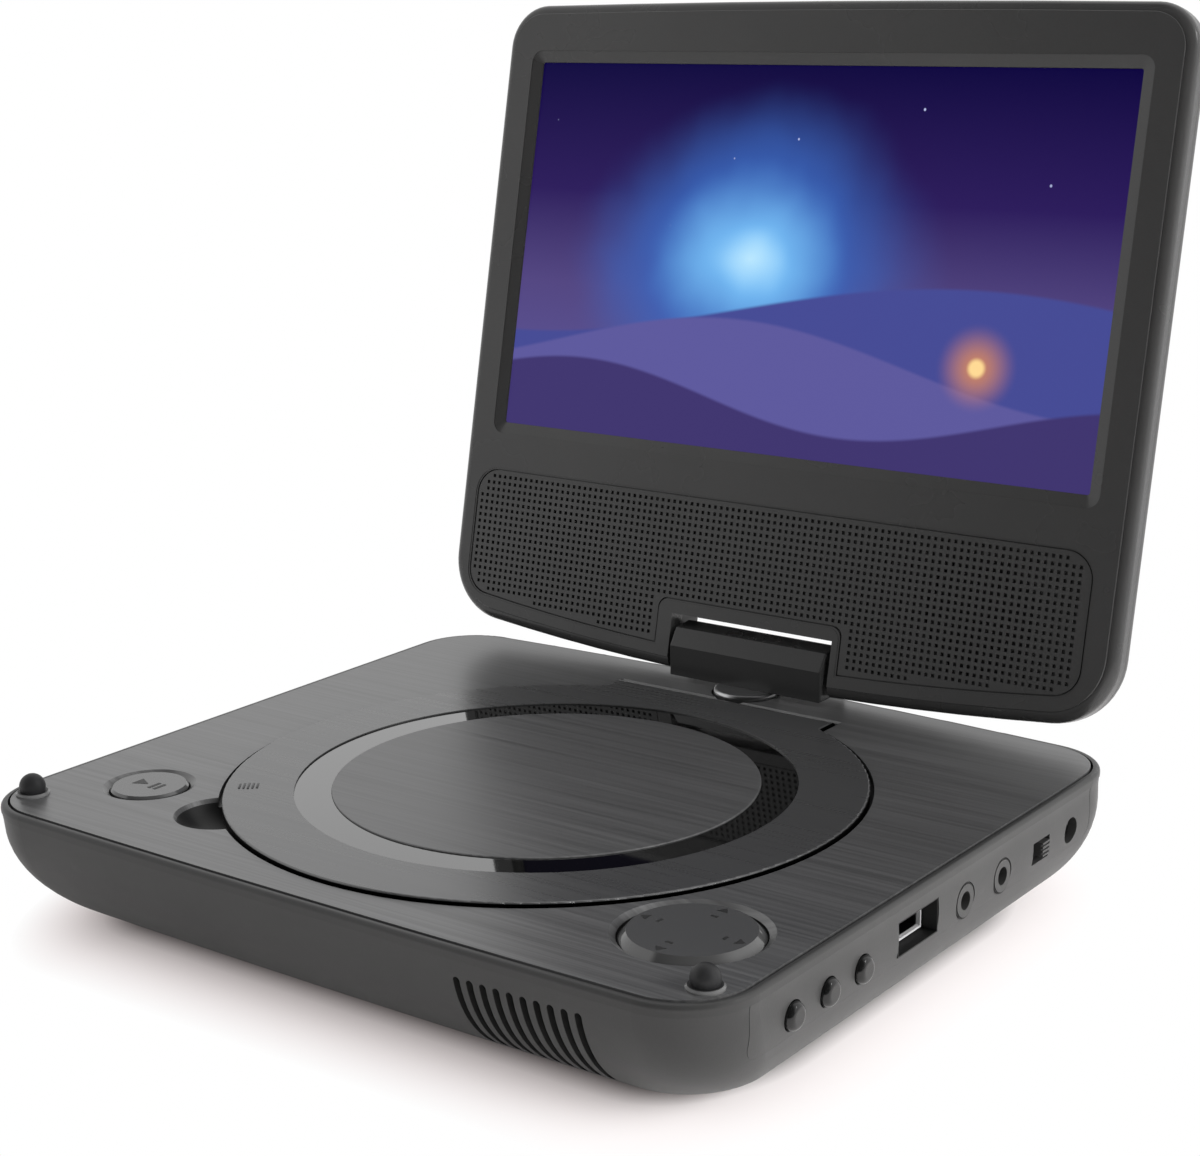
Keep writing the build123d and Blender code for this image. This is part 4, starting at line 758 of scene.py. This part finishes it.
def display_picture():
    """The lit picture, in halves of the display's width and heights above its lower edge."""
    made = bpy.data.materials.new("Lit display")
    made.use_nodes = True
    tree = made.node_tree
    add = tree.nodes.new
    link = tree.links.new
    shader = tree.nodes["Principled BSDF"]
    place = add("ShaderNodeTexCoord")
    flat = add("ShaderNodeMapping")
    flat.vector_type = "TEXTURE"
    flat.inputs["Location"].default_value = screen_low
    flat.inputs["Rotation"].default_value = (-lean, 0, 0)
    flat.inputs["Scale"].default_value = (screen_width / 2, 1, screen_height)
    link(place.outputs["Object"], flat.inputs["Vector"])
    parts = add("ShaderNodeSeparateXYZ")
    link(flat.outputs["Vector"], parts.inputs[0])
    across, up = parts.outputs["X"], parts.outputs["Z"]

    def sums(operation, *values):
        node = add("ShaderNodeMath")
        node.operation = operation
        for place, value in zip(node.inputs, values):
            if isinstance(value, (int, float)):
                place.default_value = value
            else:
                link(value, place)
        return node.outputs[0]

    def fade(value, low, high):
        node = add("ShaderNodeMapRange")
        node.interpolation_type = "SMOOTHSTEP"
        node.inputs["From Min"].default_value = low
        node.inputs["From Max"].default_value = high
        link(value, node.inputs["Value"])
        return node.outputs["Result"]

    def over(below, colour, mask):
        node = add("ShaderNodeMix")
        node.data_type = "RGBA"
        link(mask, node.inputs["Factor"])
        link(below, node.inputs[6])
        node.inputs[7].default_value = (*colour, 1)
        return node.outputs[2]

    def reach_from(x, z, wide, high):
        sideways = sums("DIVIDE", sums("SUBTRACT", across, x), wide)
        upward = sums("DIVIDE", sums("SUBTRACT", up, z), high)
        squares = sums("ADD", sums("MULTIPLY", sideways, sideways), sums("MULTIPLY", upward, upward))
        return sums("SQRT", squares)

    sky = add("ShaderNodeValToRGB")
    ramp = sky.color_ramp
    ramp.elements[0].position = 0.0
    ramp.elements[0].color = (0.11, 0.095, 0.33, 1)
    ramp.elements[1].position = 1.0
    ramp.elements[1].color = (0.003, 0.0005, 0.05, 1)
    for position, colour in ((0.4, (0.085, 0.06, 0.22)), (0.66, (0.024, 0.01, 0.105))):
        ramp.elements.new(position).color = (*colour, 1)
    link(up, sky.inputs["Fac"])
    cloud = add("ShaderNodeTexNoise")
    cloud.inputs["Scale"].default_value = 1.7
    cloud.inputs["Detail"].default_value = 3.0
    link(flat.outputs["Vector"], cloud.inputs["Vector"])
    stirred = sums("ADD", reach_from(-0.16, 0.5, 0.62, 0.42), sums("MULTIPLY", cloud.outputs["Fac"], 0.5))
    picture = over(sky.outputs["Color"], (0.04, 0.13, 0.5), fade(stirred, 1.35, 0.55))
    picture = over(picture, (0.2, 0.56, 0.98), fade(stirred, 0.85, 0.3))
    picture = over(picture, (0.55, 0.85, 1.0), fade(stirred, 0.5, 0.2))
    stars = add("ShaderNodeTexVoronoi")
    stars.inputs["Scale"].default_value = 9.0
    link(flat.outputs["Vector"], stars.inputs["Vector"])
    star_mask = sums("MULTIPLY", fade(stars.outputs["Distance"], 0.045, 0.02), fade(up, 0.55, 0.8))
    picture = over(picture, (0.5, 0.55, 0.85), star_mask)
    hills = (
        (0.36, 0.10, 1.9, 0.4, (0.06, 0.07, 0.3)),
        (0.25, 0.09, 2.6, 2.1, (0.11, 0.1, 0.34)),
        (0.13, 0.07, 3.3, 4.0, (0.05, 0.035, 0.16)),
    )
    for level, swell, waves, start, colour in hills:
        crest = sums("MULTIPLY_ADD", sums("SINE", sums("MULTIPLY_ADD", across, waves, start)), swell, level)
        below = sums("SUBTRACT", crest, up)
        picture = over(picture, colour, fade(below, -0.006, 0.006))
    lantern = reach_from(0.62, 0.27, 0.13, 0.116)
    picture = over(picture, (0.75, 0.28, 0.07), sums("MULTIPLY", fade(lantern, 1.0, 0.0), 0.75))
    picture = over(picture, (1.0, 0.7, 0.3), fade(lantern, 0.26, 0.12))
    rays = add("ShaderNodeLightPath")
    mirrored = sums("MAXIMUM", rays.outputs["Is Glossy Ray"], rays.outputs["Is Diffuse Ray"])
    kept = sums("SUBTRACT", 1.0, sums("MULTIPLY", mirrored, side_loss))
    dimmed = add("ShaderNodeVectorMath")
    dimmed.operation = "SCALE"
    link(picture, dimmed.inputs["Vector"])
    link(kept, dimmed.inputs["Scale"])
    picture = dimmed.outputs["Vector"]
    shader.inputs["Base Color"].default_value = (0.0015, 0.0015, 0.002, 1)
    shader.inputs["Roughness"].default_value = 0.34
    shader.inputs["Specular IOR Level"].default_value = 0.04
    shader.inputs["Emission Strength"].default_value = 1.0
    link(picture, shader.inputs["Emission Color"])
    return made


give(display_picture(), "lcd_glass")


# ---- Table, light and camera
# A pale seamless table in a white room: one soft lamp low on the right, a weak one in front.
# The room is darker in front of the player, where the lamp stands and nothing white is hung.
bpy.ops.object.select_all(action="DESELECT")
bpy.ops.mesh.primitive_plane_add(size=12.0, location=(0, 0, 0))
table = bpy.context.object
table.name = "table"
pale = bpy.data.materials.new("Pale table")
pale.use_nodes = True
tree = pale.node_tree
shader = tree.nodes["Principled BSDF"]
shader.inputs["Roughness"].default_value = 0.7
shader.inputs["Specular IOR Level"].default_value = 0.2
foot_half = (0.0598, 0.033, 0)  # the straight part of the base's foot on the table
foot_corner = 0.025
place = tree.nodes.new("ShaderNodeTexCoord")
away = tree.nodes.new("ShaderNodeVectorMath")
away.operation = "ABSOLUTE"
beyond = tree.nodes.new("ShaderNodeVectorMath")
beyond.operation = "SUBTRACT"
beyond.inputs[1].default_value = foot_half
outside = tree.nodes.new("ShaderNodeVectorMath")
outside.operation = "MAXIMUM"
outside.inputs[1].default_value = (0, 0, 0)
sideways = tree.nodes.new("ShaderNodeVectorMath")
sideways.operation = "MULTIPLY"
sideways.inputs[1].default_value = (1.5, 1, 1)
reach_out = tree.nodes.new("ShaderNodeVectorMath")
reach_out.operation = "LENGTH"
tree.links.new(place.outputs["Object"], away.inputs[0])
for first, second in ((away, beyond), (beyond, outside), (outside, sideways), (sideways, reach_out)):
    tree.links.new(first.outputs[0], second.inputs[0])


def table_fade(near, far, low, high):
    """A ramp over the distance from the base's foot."""
    node = tree.nodes.new("ShaderNodeMapRange")
    node.inputs["From Min"].default_value = foot_corner + near
    node.inputs["From Max"].default_value = foot_corner + far
    node.inputs["To Min"].default_value = low
    node.inputs["To Max"].default_value = high
    tree.links.new(reach_out.outputs["Value"], node.inputs["Value"])
    return node.outputs["Result"]


white_seen = table_fade(0.0, 0.029, 0.0, 1.0)
# Painted shadow: the table's colour is darkened to a quarter at the base's foot and recovers within 8 mm.
painted_contact_shadow = tree.nodes.new("ShaderNodeVectorMath")
painted_contact_shadow.operation = "SCALE"
painted_contact_shadow.inputs["Vector"].default_value = (0.93, 0.91, 0.905)
tree.links.new(table_fade(0.0, 0.008, 0.25, 1.0), painted_contact_shadow.inputs["Scale"])
tree.links.new(painted_contact_shadow.outputs["Vector"], shader.inputs["Base Color"])
glow = tree.nodes.new("ShaderNodeEmission")
# Painted shadow tint: where the white glow fades in near the foot it is warm pink.
painted_shadow_warmth = tree.nodes.new("ShaderNodeMix")
painted_shadow_warmth.data_type = "RGBA"
painted_shadow_warmth.inputs[6].default_value = (1, 0.84, 0.83, 1)
painted_shadow_warmth.inputs[7].default_value = (1, 1, 1, 1)
tree.links.new(white_seen, painted_shadow_warmth.inputs["Factor"])
tree.links.new(painted_shadow_warmth.outputs[2], glow.inputs["Color"])
rays = tree.nodes.new("ShaderNodeLightPath")
seen = tree.nodes.new("ShaderNodeMath")
seen.operation = "MULTIPLY"
tree.links.new(rays.outputs["Is Camera Ray"], seen.inputs[0])
tree.links.new(white_seen, seen.inputs[1])
amount = tree.nodes.new("ShaderNodeMath")
amount.operation = "MULTIPLY_ADD"
tree.links.new(rays.outputs["Is Glossy Ray"], amount.inputs[0])
tree.links.new(table_fade(0.03, 0.3, 0.0, 1.0), amount.inputs[1])
tree.links.new(seen.outputs[0], amount.inputs[2])
mix = tree.nodes.new("ShaderNodeMixShader")
tree.links.new(amount.outputs[0], mix.inputs["Fac"])
tree.links.new(shader.outputs["BSDF"], mix.inputs[1])
tree.links.new(glow.outputs["Emission"], mix.inputs[2])
tree.links.new(mix.outputs["Shader"], tree.nodes["Material Output"].inputs["Surface"])
table.data.materials.append(pale)

room = bpy.data.worlds.new("White room")
bpy.context.scene.world = room
room.use_nodes = True
tree = room.node_tree
sky = tree.nodes["Background"]
sky.inputs["Color"].default_value = (1, 1, 1, 1)
room_light = 0.75
front_dark = 0.0
place = tree.nodes.new("ShaderNodeTexCoord")
ways = tree.nodes.new("ShaderNodeSeparateXYZ")
tree.links.new(place.outputs["Generated"], ways.inputs[0])


def room_fade(value, low, high, dark, light):
    """A soft step of the room's brightness along one direction."""
    node = tree.nodes.new("ShaderNodeMapRange")
    node.interpolation_type = "SMOOTHSTEP"
    node.inputs["From Min"].default_value = low
    node.inputs["From Max"].default_value = high
    node.inputs["To Min"].default_value = dark
    node.inputs["To Max"].default_value = light
    tree.links.new(value, node.inputs["Value"])
    return node.outputs["Result"]


def room_sum(operation, first, second):
    node = tree.nodes.new("ShaderNodeMath")
    node.operation = operation
    for place, value in zip(node.inputs, (first, second)):
        if isinstance(value, (int, float)):
            place.default_value = value
        else:
            tree.links.new(value, place)
    return node.outputs[0]


from_left = room_fade(ways.outputs["X"], -0.42, -0.58, front_dark, 1.0)
from_back = room_fade(ways.outputs["Y"], -0.1, 0.45, front_dark, 1.0)
mirrored = room_sum("MAXIMUM", from_left, from_back)
rays = tree.nodes.new("ShaderNodeLightPath")
plain_view = room_sum("MAXIMUM", rays.outputs["Is Camera Ray"], rays.outputs["Is Transmission Ray"])
not_glossy = room_sum("SUBTRACT", 1.0, rays.outputs["Is Glossy Ray"])
diffuse_part = room_sum("MULTIPLY", room_sum("SUBTRACT", not_glossy, plain_view), room_light)
glossy_part = room_sum("MULTIPLY", rays.outputs["Is Glossy Ray"], mirrored)
total = room_sum("ADD", room_sum("ADD", room_sum("MAXIMUM", diffuse_part, 0.0), glossy_part), plain_view)
tree.links.new(total, sky.inputs["Strength"])


def softbox(name, place, target, width, height, power):
    """A soft rectangular lamp aimed at a point."""
    light = bpy.data.lights.new(name, "AREA")
    light.shape = "RECTANGLE"
    light.size, light.size_y = width, height
    light.energy = power
    lamp = bpy.data.objects.new(name, light)
    bpy.context.scene.collection.objects.link(lamp)
    lamp.location = place
    lamp.rotation_euler = (Vector(target) - Vector(place)).to_track_quat("-Z", "Y").to_euler()
    lamp.visible_glossy = False
    return lamp


softbox("Right lamp", (1.35, 0.2, 0.5), (0, 0, 0.05), 1.0, 0.7, 37.0)
softbox("Front lamp", (-0.95, -1.2, 0.8), (0, 0, 0.05), 1.2, 0.8, 4.0)
small_lamp = softbox("Small lamp", (0.98, 0.4, 0.75), (0.09, -0.05, 0.02), 0.1, 0.1, 1.0)
small_lamp.visible_glossy = True

lens = bpy.data.cameras.new("Camera")
camera = bpy.data.objects.new("Camera", lens)
bpy.context.scene.collection.objects.link(camera)
lens.sensor_fit = "HORIZONTAL"
lens.sensor_width = 36.0
lens.lens = 69.885
lens.clip_start = 0.01
camera_place = (0.2775, -0.35476, 0.18495)
azimuth, height_angle, slant = radians(36.88), radians(14.49), radians(-0.96)
turn = Matrix.Rotation(azimuth, 4, "Z")
tip = Matrix.Rotation(pi / 2 - height_angle, 4, "X")
roll = Matrix.Rotation(slant, 4, "Z")
camera.matrix_world = Matrix.Translation(camera_place) @ turn @ tip @ roll
bpy.context.scene.camera = camera
bpy.context.scene.view_settings.view_transform = "Standard"
